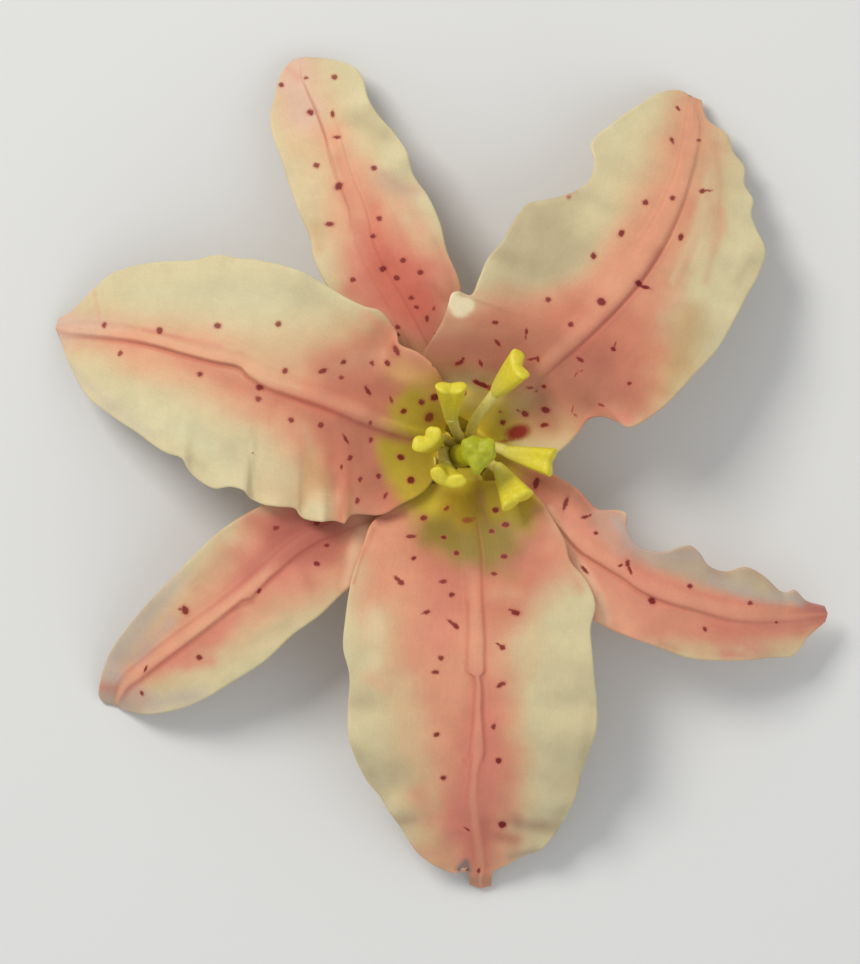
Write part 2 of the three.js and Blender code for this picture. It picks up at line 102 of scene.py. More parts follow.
# Painted highlight for the ridge's crest, also laid as painted light over a cast shadow
CREST_HIGHLIGHT = (238, 172, 136)
# Painted shade, in a deep red, for the grooves beside the ridges
CREASE_SHADE = (188, 92, 76)
SPOT = (120, 24, 20)
SPOT_RED = (146, 28, 34)
HALO = (196, 92, 78)

# Paste of the inner pieces: (share of the way along, colour) of each tone, and roughness. A noise
# is (scale per millimetre, detail, roughness), its shades are how far it darkens and lightens the
# colour, and a bump is (strength, distance).
PASTES = {
    "filament": ([(0, (226, 206, 84)), (0.9, (226, 214, 124))], 0.45),
    "anther": ([(0.1, (218, 206, 84)), (0.7, (224, 208, 58))], 0.42),
    "pistil": ([(0.2, (120, 104, 20)), (0.85, (176, 178, 30))], 0.45),
    "receptacle": ([(0.2, (120, 130, 56)), (0.9, (132, 118, 34))], 0.55),
}
PASTE_LOOK = {
    "Specular_IOR_Level": 0.4,
    "Subsurface_Weight": 0.15,
    "Subsurface_Radius": (1.0, 0.8, 0.3),
    "Subsurface_Scale": MM,
}
PASTE_NOISE = (1.4, 3.0, 0.6)
PASTE_FINE_NOISE = (9.0, 2.0, 0.6)
PASTE_TONE_DRIFT = 0.05
PASTE_SHADES = (0.93, 1.05)
PASTE_ROUGHNESS_SPREAD = (-0.05, 0.08)
PASTE_GRAIN_DEPTH = 0.6
PASTE_FINE_DEPTH = 0.12
PASTE_BUMP = (0.4, 0.2 * MM)

# Look of the blades, with veins as (fineness across, fineness along, depth)
NOISE_RANGE = (0.3, 0.7)
MOTTLE_NOISE = (0.2, 4.0, 0.6)
MOTTLE_SHADES = (0.95, 1.04)
GRAIN_NOISE = (3.0, 3.0, 0.65)
GRAIN_SHADES = (0.965, 1.03)
GRAIN_DEPTH = 0.2
VEIN_NOISE = (1.0, 3.0, 0.55)
VEIN_SHADES = (0.985, 1.015)
VEINS = ((24.0, 0.05, 0.5), (80.0, 0.2, 0.3))
BLADE_BUMP = (0.5, 0.14 * MM)
BLADE_ROUGHNESS = (0.5, 0.64)
BLADE_LOOK = {
    "Specular_IOR_Level": 0.32,
    "Subsurface_Weight": 0.1,
    "Subsurface_Radius": (1.0, 0.5, 0.3),
    "Subsurface_Scale": MM,
    "Sheen_Weight": 0.04,
    "Sheen_Roughness": 0.5,
}
WOBBLE_NOISE = (1.8, 2.0, 0.6)
SPOT_WOBBLE = 0.6
SPOT_SOFTNESS = 0.28
SMEAR_SOFTNESS = 0.45
SPOT_REACH_THROUGH = 1e4
HALO_SPAN = (0.9, 2.0)
HALO_STRENGTH = 0.45
NO_SPOT_NEAR = 9.0

# Petals lie over sepals: height of the inner face above the surface by distance from the axis,
# rows along a blade, and the height at which its claw stands on the receptacle
PETAL = {
    "rise": [
        (4.9, 8.4), (8, 11.6), (12, 14.9), (18, 18.2), (28, 20.8), (38, 21.2), (48, 19.4),
        (58, 15.6), (66, 11), (74, 5), (79, 1.3),
    ],
    "rows": 230,
    "claw_height": 9.5,
}
SEPAL = {
    "rise": [
        (4.9, 5.6), (8, 8.3), (12, 11.4), (18, 14.6), (28, 17), (38, 17.4), (48, 16), (58, 13),
        (66, 9.4), (74, 5), (81, 2.4),
    ],
    "rows": 190,
    "claw_height": 6.6,
}

# Blades
RIB_THICKNESS = 1.0
MARGIN_THICKNESS = 0.62
LEAST_THICKNESS = 0.1
EDGE_ROUND = 0.45
RIM_FULLNESS = 0.12
LIFT_POWER = 2.4
GROOVE_DEPTH = 0.28
GROOVE_WIDTH = 0.75
RIDGE_SLOPE = 1.4
RIDGE_SOFT = 0.1
RIDGE_ROOM = 5.0
RIDGE_ZONE = 1.8
CURVE_STEPS = 600
CLAW_ROWS = 10
CLAW_REACH = 0.5
RIDGE_COLUMNS = 16
BLADE_COLUMNS = 33
EDGE_COLUMNS = 4
CREST_FADE = 5
CREASE_FROM = 8
CREASE_FADE = 7
UNDER_CREAM = 0.4
FULL_WANDER_SOFTNESS = 5

# Unevenness made by hand, in layers of (depth, scale per millimetre, seed)
HAND_DENTS = 0.35
DENT_LAYERS = ((1, 0.09, 0), (0.4, 0.26, 7))
DENTS_START = 1 / 8
MARGIN_WAVES = 0.6
WAVE_LAYERS = ((1, 0.16, 11),)
RIDGE_LAYERS = ((0.3, 0.16, 60),)
STROKE_LAYERS = ((1.5, 0.11, 20), (0.7, 0.31, 30))
CRUMPLE_LAYERS = ((0.22, 0.5, 40),)

# Each tepal:
# droop: share of the way where the tip starts to bend down, and how far it drops
# crease: half width and strength of the dark lines of painted shade in the groove beside the ridge
# crest: strength of the painted highlight on the ridge's top, and how far from the axis that starts
# ridge: (share of the way, half width left, half width right, height, crease left, crease right)
# left, right: each margin from claw to tip, as (x, y, lift above the bloom's bowl)
# rib: the middle line as (x, y)
# paint: airbrushed strokes, with painted shade and painted light among them, later ones over
# earlier ones, as (colour, points of the line as (x, y, half width at half strength), how soft
# the edge is, strength)
# spots, and smears under them: (x, y, half length, half width, angle in degrees, strength)
PETAL_LEFT = {
    "kind": PETAL, "droop": (0.96, 0.6), "crease": (0.95, 0.55), "crest": (0.35, 10),
    "ridge": [
        (0, 1.5, 2, 0.2, 0.2, 0), (0.1, 1.6, 2.2, 0.45, 0.5, 0), (0.22, 2.1, 2.4, 0.6, 0.7, 0.1),
        (0.34, 1.7, 2.2, 0.6, 0.8, 0.1), (0.46, 1.9, 2, 0.65, 0.9, 0.1), (0.505, 1.8, 1.8, 0.65, 0.9, 0.1),
        (0.525, 1.1, 1.6, 0.7, 1, 0.2), (0.75, 1.1, 1.6, 0.65, 1, 0.4), (0.9, 1.2, 1.5, 0.5, 0.8, 0.3),
        (1, 1.2, 1.4, 0.3, 0.3, 0),
    ],
    "left": [
        (-5.5, -0.8, 0), (-5.4, -3.4, 1), (-7.2, -6.3, 1.9), (-11.6, -8.9, 2.1), (-15.4, -10.8, 1.6),
        (-20.3, -10.9, 0.4), (-21.8, -12.4, 1.4), (-23.8, -12, -0.2), (-25.8, -12.1, 1.2),
        (-29.2, -11.6, -0.9), (-30.4, -9.9, 0.2), (-33.5, -9.4, 1.1), (-36.6, -9, 0.4),
        (-38.2, -8.3, -0.8), (-39.6, -6.7, 1.2), (-42.3, -5.9, 0.5), (-45.4, -6.2, 0), (-48.9, -4.1, -1),
        (-51, -0.9, 1.1), (-54.4, 0.4, 0.5), (-59.2, 3.8, 0.8), (-63.4, 6.5, -0.3), (-68.2, 10.3, 0.3),
        (-71.3, 15.5, 0), (-73.2, 20.6, 0),
    ],
    "rib": [
        (-4.6, 1.7), (-8.3, 3.1), (-12, 4.5), (-16, 6), (-20, 7.7), (-24, 9.3), (-28, 10.6), (-32, 12),
        (-36, 13.6), (-39, 15.4), (-41, 16.5), (-45, 17.3), (-50, 18.6), (-56, 20.3), (-60, 21.2),
        (-66, 22), (-74.4, 22.8),
    ],
    "right": [
        (-3.7, 4.1, 0), (-3.1, 8, 1.1), (-4, 12.2, 2.1), (-5.6, 15.3, 2.6), (-8.6, 18, 2.6),
        (-12.2, 19.8, 1.9), (-12.8, 22.4, 0.3), (-15.4, 25.6, 1.1), (-18.2, 26.4, 1), (-21, 27.7, 0.9),
        (-25.8, 30.7, 0.1), (-30.2, 33, 0.9), (-37.2, 34.9, -0.6), (-41, 35.3, -0.7), (-44.5, 35.8, 0.6),
        (-49.2, 34.9, 0.3), (-54.4, 34.7, -0.2), (-59.6, 34, 0.4), (-64.1, 32.4, 0.4), (-67.1, 29.9, 0.5),
        (-71.6, 25.6, 0.1), (-73.6, 24.6, 0),
    ],
    "paint": [
        (PALE, [(-64, 10, 2), (-50, 5, 4), (-40, -2, 3), (-31, -8, 1.5)], 8, 0.5),
        (GREY_CREAM, [(-40, 29.5, 1), (-30, 28, 2), (-22, 25, 2)], 8, 0.35),
        (BUFF, [(-74, 23, 4), (-62, 21.5, 5), (-50, 18, 7), (-40, 13.5, 8.5), (-32, 11, 11.5),
         (-24, 6, 18), (-10, 4, 24)], 10, 0.85),
        (PEACH, [(-74, 22, 1), (-62, 20.5, 2.5), (-52, 18, 3.5), (-42, 14, 4), (-36, 11, 5),
         (-30, 10, 6.5), (-24, 8, 10), (-12, 4, 18)], 8, 0.8),
        (SALMON, [(-34, 9.5, 1), (-27, 9, 4), (-21, 5, 9.5), (-12, 3, 15)], 8, 0.9),
        (BLUSH, [(-74, 22.5, 3.5), (-68, 22.5, 2.5)], 5, 0.85),
        (CREAM, [(-40, 2, 2.5), (-33, -4, 2.2)], 5, 0.7),
        (TAN, [(-28, 0, 1.4), (-26.6, -4.4, 1.6)], 4, 0.6),
        (CREAM, [(-27.8, -10, 1.3), (-25.4, -10, 1.1)], 2.5, 0.85),
        (SALMON, [(-22.4, -11.6, 1.2), (-21.6, -5, 2), (-22, 0, 2)], 2.5, 0.9),
        # Painted shade and painted light that even out the shading of a wave in the lower margin
        (BROWN_PINK, [(-23.6, -11.6, 0.5), (-23.6, -4, 0.5)], 1.4, 0.5),
        (APRICOT, [(-21.2, -11.5, 0.4), (-21.2, -7, 0.4)], 1.2, 0.5),
        (BUFF, [(-29, 4.5, 1.2), (-27.5, 0, 1.2)], 4, 0.5),
        # Painted shade in a fold dimple at the margin
        (GREY_CREAM, [(-49.4, -0.8, 0.6), (-47, -2.2, 0.4)], 2.2, 0.7),
        # Painted light along a fold, over the shade it makes
        (PAINTED_LIGHT, [(-38.6, 2, 0.2), (-38.4, -6.5, 0.3)], 1, 0.6),
        # Painted shade along a fold
        (TAN, [(-29.4, -9, 0.3), (-28.8, -4.5, 0.5), (-28, -1, 0.5)], 2, 0.6),
        (SALMON, [(-27, 15, 2), (-22, 18.5, 3), (-15, 20.5, 2)], 5, 0.65),
        # Painted shade in the V of a fold by the upper margin
        (MAROON, [(-13.4, 21.6, 0.5), (-13.2, 18, 0.9)], 2.4, 0.75),
        # Painted highlight on the raised fold of the ridge
        (BUFF, [(-40.5, 15.4, 0.4), (-36, 13.7, 0.6), (-30, 11.9, 0.4)], 1.4, 0.8),
        (CORAL, [(-33, 11, 0.4), (-26, 8.6, 0.8), (-19, 6.2, 0.6)], 2, 0.45),
        (MAROON, [(-24, 14.5, 3), (-15, 14, 4)], 5, 0.35),
        (SAGE, [(-60, 28, 3), (-45, 29.5, 4), (-30, 28, 2)], 8, 0.25),
        (SAGE, [(-60, 8, 2), (-48, 3, 3), (-38, -4, 2.5)], 6, 0.25),
        (SAGE, [(-74, 22.5, 2.5), (-67, 22.5, 2)], 4, 0.3),
        (ROSE, [(-67, 29.5, 0.2), (-66, 24, 0.3)], 1, 0.35),
        (ROSE, [(-58, 22.4, 0.2), (-50, 20.7, 0.3), (-44, 19.4, 0.2)], 1.2, 0.45),
        (ROSE, [(-70, 20.6, 1), (-60, 20.2, 1.2)], 4, 0.3),
        (BLUSH, [(-73, 23, 2.5), (-62, 23, 1.2)], 4, 0.6),
        # Painted shade along the lower margin near the tip
        (ASH_SHADE, [(-71.5, 16, 0.8), (-64, 8.5, 0.8), (-56, 3, 0.6)], 3, 0.4),
        (SALMON, [(-52, 17, 0.6), (-46, 15, 1.4), (-40, 12.2, 1.6), (-34, 10.4, 1.4)], 3, 0.6),
        (BROWN_PINK, [(-20, 0, 2), (-17, -5, 4), (-19, -9, 3)], 7, 0.7),
        # Painted shade in the valley under the ridge
        (BROWN_PINK, [(-28, 6.5, 0.6), (-20, 4, 2), (-12, 2.5, 3)], 4, 0.5),
        (TAN, [(-23, 23, 1.5), (-16, 23, 2), (-12, 20.5, 1.5)], 6, 0.4),
        (PEACH, [(-17.8, 24.8, 0.6), (-13.6, 21.6, 0.8)], 3, 0.7),
        (SALMON, [(-19, 20, 1.5), (-14, 21, 1.5), (-11, 18, 1)], 5, 0.5),
        (APRICOT, [(-12, 14.5, 2), (-7, 13, 2.5), (-4, 9, 1.5)], 6, 0.8),
        (LIME, [(-7, 6.2, 7.3), (-7, 2, 8.6), (-5, -4, 8)], 4, 0.95),
        (APRICOT, [(-11, 14.5, 1.5), (-7.5, 13.2, 1.8), (-4.6, 11, 0.8)], 4, 0.7),
        # Painted light in the throat, where it lies in shade
        (THROAT_LIGHT, [(-15, 6.4, 0.2), (-9, 4.4, 0.5), (-3, 3, 1)], 1.6, 0.6), (THROAT_LIGHT, [(0, 0, 6)], 3, 1.0),
        # Painted shade in a band under the ridge towards the throat
        (BROWN_PINK, [(-22, 6.4, 1.3), (-17, 4.6, 1.1), (-12, 3, 0.8), (-8, 2.2, 0.4)], 2, 0.8),
    ],
    "spots": [
        (-65.1, 23.2, 0.5, 0.4, 60, 0.8), (-55.1, 22.2, 0.58, 0.52, 90, 0.85),
        (-44.6, 23, 0.6, 0.52, 0, 0.85), (-33.7, 23.3, 0.5, 0.48, 0, 0.8),
        (-62.2, 18.1, 0.48, 0.4, 60, 0.75), (-47.8, 14.3, 0.52, 0.45, -30, 0.85),
        (-37, 11.9, 0.68, 0.5, -10, 0.95), (-37.3, 9.9, 0.55, 0.48, -30, 0.75),
        (-32.5, 14.9, 0.5, 0.45, 0, 0.8), (-25.7, 14.9, 0.75, 0.42, 20, 0.85),
        (-31.4, 6.1, 0.5, 0.46, 0, 0.8), (-26.1, 5.2, 0.5, 0.46, 0, 0.8), (-22, 16.5, 0.5, 0.4, 40, 0.85),
        (-22.4, 13.7, 0.45, 0.35, 0, 0.7), (-16.9, 16.3, 0.45, 0.35, 90, 0.75),
        (-14.1, 16.3, 0.6, 0.42, -60, 0.85), (-12.5, 18.6, 0.95, 0.42, -65, 0.8),
        (-17.7, 11.4, 0.95, 0.38, -60, 0.9), (-13.5, 9.8, 0.62, 0.25, -70, 0.7),
        (-11.2, 7.7, 0.52, 0.48, 0, 0.9), (-8, 9.3, 0.6, 0.5, 0, 0.85), (-5.6, 10.2, 0.78, 0.62, 20, 0.95),
        (-6.6, 6.6, 0.85, 0.7, 50, 0.8), (-17.2, 5.6, 0.45, 0.28, 90, 0.7),
        (-17.1, 2.5, 0.5, 0.35, 70, 0.8), (-21.6, 2.7, 0.95, 0.3, -60, 0.85),
        (-20.8, -0.7, 0.5, 0.36, 50, 0.85), (-22.4, -2.3, 0.45, 0.24, 90, 0.75),
        (-19, -4.6, 0.5, 0.36, 80, 0.8), (-15.7, -4, 0.5, 0.42, 60, 0.85),
        (-11.7, -0.6, 0.62, 0.5, -30, 0.95), (-9.9, -4.7, 0.68, 0.6, 0, 0.95),
        (-14.5, -7.5, 0.65, 0.3, 60, 0.75), (-19.5, -8.4, 0.55, 0.4, 70, 0.85),
        (-5.8, 16, 0.35, 0.25, -60, 0.6), (-38.3, 0.1, 0.16, 0.12, 0, 0.6),
    ],
    "smears": [],
}
PETAL_UPPER_RIGHT = {
    "kind": PETAL, "droop": (0.96, 0.6), "crease": (0.7, 0.15), "crest": (0.35, 10),
    "ridge": [
        (0, 1.6, 1.6, 0.2, 0, 0.2), (0.15, 2, 1.9, 0.45, 0, 0.4), (0.3, 2.4, 2, 0.6, 0, 0.7),
        (0.5, 2.4, 2, 0.65, 0.1, 1), (0.63, 2.2, 2, 0.65, 0.2, 1), (0.75, 1.8, 1.6, 0.55, 0.3, 0.8),
        (0.8, 1.7, 1.4, 0.5, 0.3, 0.7), (0.88, 1.7, 1.5, 0.45, 0.3, 0.6), (1, 1.5, 1.3, 0.4, 0.2, 0.4),
    ],
    "left": [
        (1.2, 5.4, -0.2), (-2.6, 7.6, -0.3), (-6, 10.8, -0.7), (-8, 14.2, -1), (-7.8, 17.8, -0.8),
        (-6, 20.8, -0.4), (-4.4, 23.5, 0.1), (-3.4, 26.2, 0.8), (-2.4, 28.8, 1.2), (-0.9, 28.7, 1.3),
        (1, 28.6, 0.9), (2.3, 31.4, 0.4), (3.7, 34.9, -0.7), (6.3, 37.8, 0.8), (9.2, 43, 0.4),
        (11.2, 45.1, -0.2), (15.6, 46.1, -1.1), (19.9, 47.5, -1.3), (22.4, 49.8, -0.4), (23, 53, 0.6),
        (22.6, 56, 1), (25.7, 59.1, 0.6), (31.2, 63, 0.1), (35, 65.3, 0.3), (38.8, 65.7, 0),
        (40.2, 64.6, 0),
    ],
    "rib": [
        (3.2, 3.8), (6.5, 8), (10.2, 12.2), (14, 16.2), (17.5, 19.3), (20.5, 22), (23.5, 24.9), (26.5, 28),
        (29.5, 31.5), (32, 35), (34.2, 38.7), (36, 42), (37.6, 45.5), (38.9, 49), (39.9, 52.5), (40.6, 56),
        (41, 60), (41.3, 64.6),
    ],
    "right": [
        (5.1, 2.1, 0), (9.5, -0.3, 0.2), (13.8, -0.9, 0.2), (17, 0.7, 0), (20.2, 3.9, -0.4),
        (22, 6.2, -0.8), (24, 6.6, -0.9), (26.8, 5.8, 0), (28.8, 4.8, 0.8), (31.2, 5.5, 0.7),
        (35.1, 8.1, 0.4), (40.5, 13.7, -0.7), (45.3, 18.9, -0.9), (48.6, 24.8, 0.8), (51, 29.3, 0),
        (52.8, 32.4, -1), (54, 36.6, 0.9), (52.4, 40.5, 0.6), (51.5, 43.2, -0.5), (51.8, 45.9, 0.3),
        (50.3, 48.6, -0.6), (50.3, 51.7, 0.5), (48.4, 54.4, -0.3), (47.2, 57.6, 0.4), (43.6, 60.4, 0),
        (42.5, 64, 0),
    ],
    "paint": [
        (GREY_CREAM, [(13, 43, 3), (13, 36, 8), (9, 31, 5)], 8, 0.9),
        (PALE, [(28, 57, 3), (33, 62, 2)], 6, 0.6),
        (PALE, [(50, 44, 2), (49, 36, 2), (46, 27, 1.5)], 6, 0.6),
        (BUFF, [(41, 64, 4.5), (39.5, 54, 7.5), (37, 45, 8.5), (33, 38, 8.5), (28, 31, 9), (24, 25, 12),
         (20, 18, 17)], 10, 0.85),
        (GREY_CREAM, [(13, 40, 6), (16, 34, 5), (9, 30, 2)], 8, 0.7),
        # Painted shade in a dark valley by the upper left margin
        (GREY_CREAM, [(17, 45, 1.5), (22, 46.5, 2), (26, 44, 1)], 5, 0.7),
        (PEACH, [(41, 63, 2), (40, 55, 4), (37, 46, 5), (33, 38, 5.5), (29, 31, 7), (22, 22, 9)], 8, 0.9),
        (TAN, [(40, 24, 2), (38, 17, 4), (36, 12, 2)], 7, 0.8),
        (SALMON, [(-3, 24, 2.5), (8, 24, 4.5), (18, 23, 6), (26, 19, 8), (30, 10, 4)], 8, 0.85),
        # Darker brown-pink towards the throat, partly the paste's colour and partly painted shade where
        # the bowl deepens
        (BROWN_PINK, [(-6, 18, 4), (2, 18, 5), (15, 17, 6), (20, 13, 8), (27, 11, 4)], 7, 0.95),
        (CREAM, [(13, 45.5, 0.6), (18, 46.5, 0.4)], 2, 0.5), (CREAM, [(20, 34, 2), (24, 42, 2)], 5, 0.5),
        (SALMON, [(41, 44, 0.8), (39.5, 36, 1.8), (36, 28, 2.5)], 5, 0.4),
        (PALE, [(43.5, 50, 0.4), (41, 40, 0.6), (37, 31, 0.4)], 1.6, 0.4),
        (SALMON, [(44.6, 56, 0.4), (45.8, 49, 0.7), (45.4, 40, 0.7), (43, 31, 0.6)], 2.2, 0.4),
        (PALE, [(43, 45, 0.4), (42.4, 39, 0.5), (40.6, 33.5, 0.3)], 1.6, 0.4),
        (SALMON, [(33, 26, 1.5), (35, 20, 2), (33, 14, 1.5)], 6, 0.55),
        (SALMON, [(38, 46, 1), (34, 38, 3), (31, 33, 3)], 5, 0.25),
        (PALE, [(27.5, 57, 2.5), (30, 53, 1.5)], 6, 0.35), (MAROON, [(23, 18, 3), (29, 14, 3)], 5, 0.35),
        (GREY_CREAM, [(10, 32, 1.5), (17, 33, 2), (21, 37, 1.5)], 5, 0.55),
        # Painted shade along the margin in the notch
        (DUSK_SHADE, [(13, 45.8, 0.3), (19.5, 47.2, 0.4)], 1.2, 0.7),
        (ROSE, [(20, 5, 0.6), (24, 8, 0.8), (29, 6.3, 0.9)], 2.5, 0.6),
        # Painted shade in a wave of the right margin
        (GREY_CREAM, [(51, 34.5, 1), (48.5, 31, 0.8)], 3, 0.6),
        # Painted shade in the groove beside the ridge
        (DEEP_ROSE, [(20, 18.5, 0.8), (26, 24.8, 0.9), (31, 30.2, 0.9), (34.5, 36, 0.5)], 3, 0.7),
        (TAN, [(13, 6, 3), (19, 5, 2)], 7, 0.6), (TAN, [(-7.5, 17, 1), (-6, 14, 2)], 4, 0.5),
        (OLIVE, [(-1, 14, 2), (4, 13, 2), (9, 11, 1)], 5, 0.5), (LIME, [(1, 1, 11), (5, 6, 5)], 6, 0.9),
        # The throat strokes here are painted light for the shade deep in the throat
        (THROAT_LIGHT, [(-1.5, 6, 1), (0, 11, 1)], 3, 0.7), (BROWN_PINK, [(9, 7, 1.5), (14, 6.5, 2.5)], 5, 0.5),
        (THROAT_LIGHT, [(0, 0, 6.5)], 4, 1.0),
        # Painted light on the flap, lifting the shade on it
        (PAINTED_LIGHT, [(-2.4, 27.4, 1.3), (-1, 26.2, 1.9), (0, 26.6, 1.5)], 1, 0.95),
    ],
    "spots": [
        (38.2, 62.3, 0.5, 0.26, -50, 0.8), (37.1, 56.4, 0.58, 0.3, -60, 0.8),
        (41.9, 56.5, 0.35, 0.25, 0, 0.7), (42.5, 47.3, 0.5, 0.42, 0, 0.85), (43.3, 47.4, 0.9, 0.2, 0, 0.7),
        (37.1, 46, 0.45, 0.42, 0, 0.8), (32.2, 45.2, 0.5, 0.48, 0, 0.85), (27.9, 39.6, 0.62, 0.5, 60, 0.9),
        (38.6, 39, 0.62, 0.42, 70, 0.9), (22.9, 35.5, 0.58, 0.5, 80, 0.9),
        (31, 30.6, 0.72, 0.5, -40, 0.97), (32, 30, 1.1, 0.32, -15, 0.97),
        (24.3, 27.3, 0.8, 0.66, -30, 0.97), (14.7, 27.7, 0.5, 0.45, 0, 0.85),
        (18.8, 23.2, 0.5, 0.45, 0, 0.9), (5.2, 23.6, 0.55, 0.35, 0, 0.85), (10.8, 22, 0.55, 0.3, 90, 0.85),
        (10.7, 21, 0.5, 0.2, 90, 0.6), (5.7, 19.9, 0.75, 0.35, -50, 0.85),
        (-1.2, 16.4, 0.9, 0.42, 25, 0.9), (-0.6, 17, 0.4, 0.3, 60, 0.9),
        (2.6, 16.3, 0.65, 0.34, -60, 0.85), (12, 17.1, 1, 0.22, 10, 0.8), (12.9, 17, 0.5, 0.3, -70, 0.85),
        (20.5, 16.9, 0.75, 0.32, -35, 0.9), (26.4, 18.8, 0.5, 0.42, 0, 0.95),
        (26.7, 19.6, 0.6, 0.16, 75, 0.6), (19.8, 14.3, 0.55, 0.16, 60, 0.6),
        (20.7, 14.9, 0.4, 0.14, 20, 0.5), (29.3, 12.6, 0.45, 0.36, 0, 0.9), (14, 12.1, 0.45, 0.34, 0, 0.9),
        (11.5, 11.9, 0.6, 0.25, 0, 0.6), (12.7, 11.3, 0.25, 0.2, 0, 0.5),
        (14.3, 7.9, 0.8, 0.55, -20, 0.92), (10.6, 7.2, 0.65, 0.5, -30, 0.85),
        (9.4, 7.8, 0.4, 0.15, -20, 0.5), (14.1, 5.2, 0.72, 0.4, 10, 0.9), (6.6, 5.7, 0.48, 0.42, 0, 0.85),
        (19.1, 8, 0.6, 0.16, 80, 0.5), (19.6, 7, 0.4, 0.16, -40, 0.5), (24.2, 8.8, 0.6, 0.16, -25, 0.7),
        (1.9, 12.9, 0.7, 0.42, -20, 0.97), (3, 12.4, 1.1, 0.4, -25, 0.97),
        (-0.2, 10.9, 0.35, 0.22, 80, 0.7), (6.1, 7.6, 0.3, 0.2, 0, 0.5), (18.5, 46.1, 0.4, 0.3, 60, 0.4),
    ],
    "smears": [
        (9.3, 3.9, 2.2, 1.35, 15, 0.95), (10, 4.6, 1.3, 0.6, 20, 0.7), (7.4, 2.4, 1.3, 0.3, 5, 0.6),
        (8.4, 3, 1.1, 0.7, 10, 0.8), (4.6, 11.8, 1.3, 0.55, -15, 0.85),
    ],
}
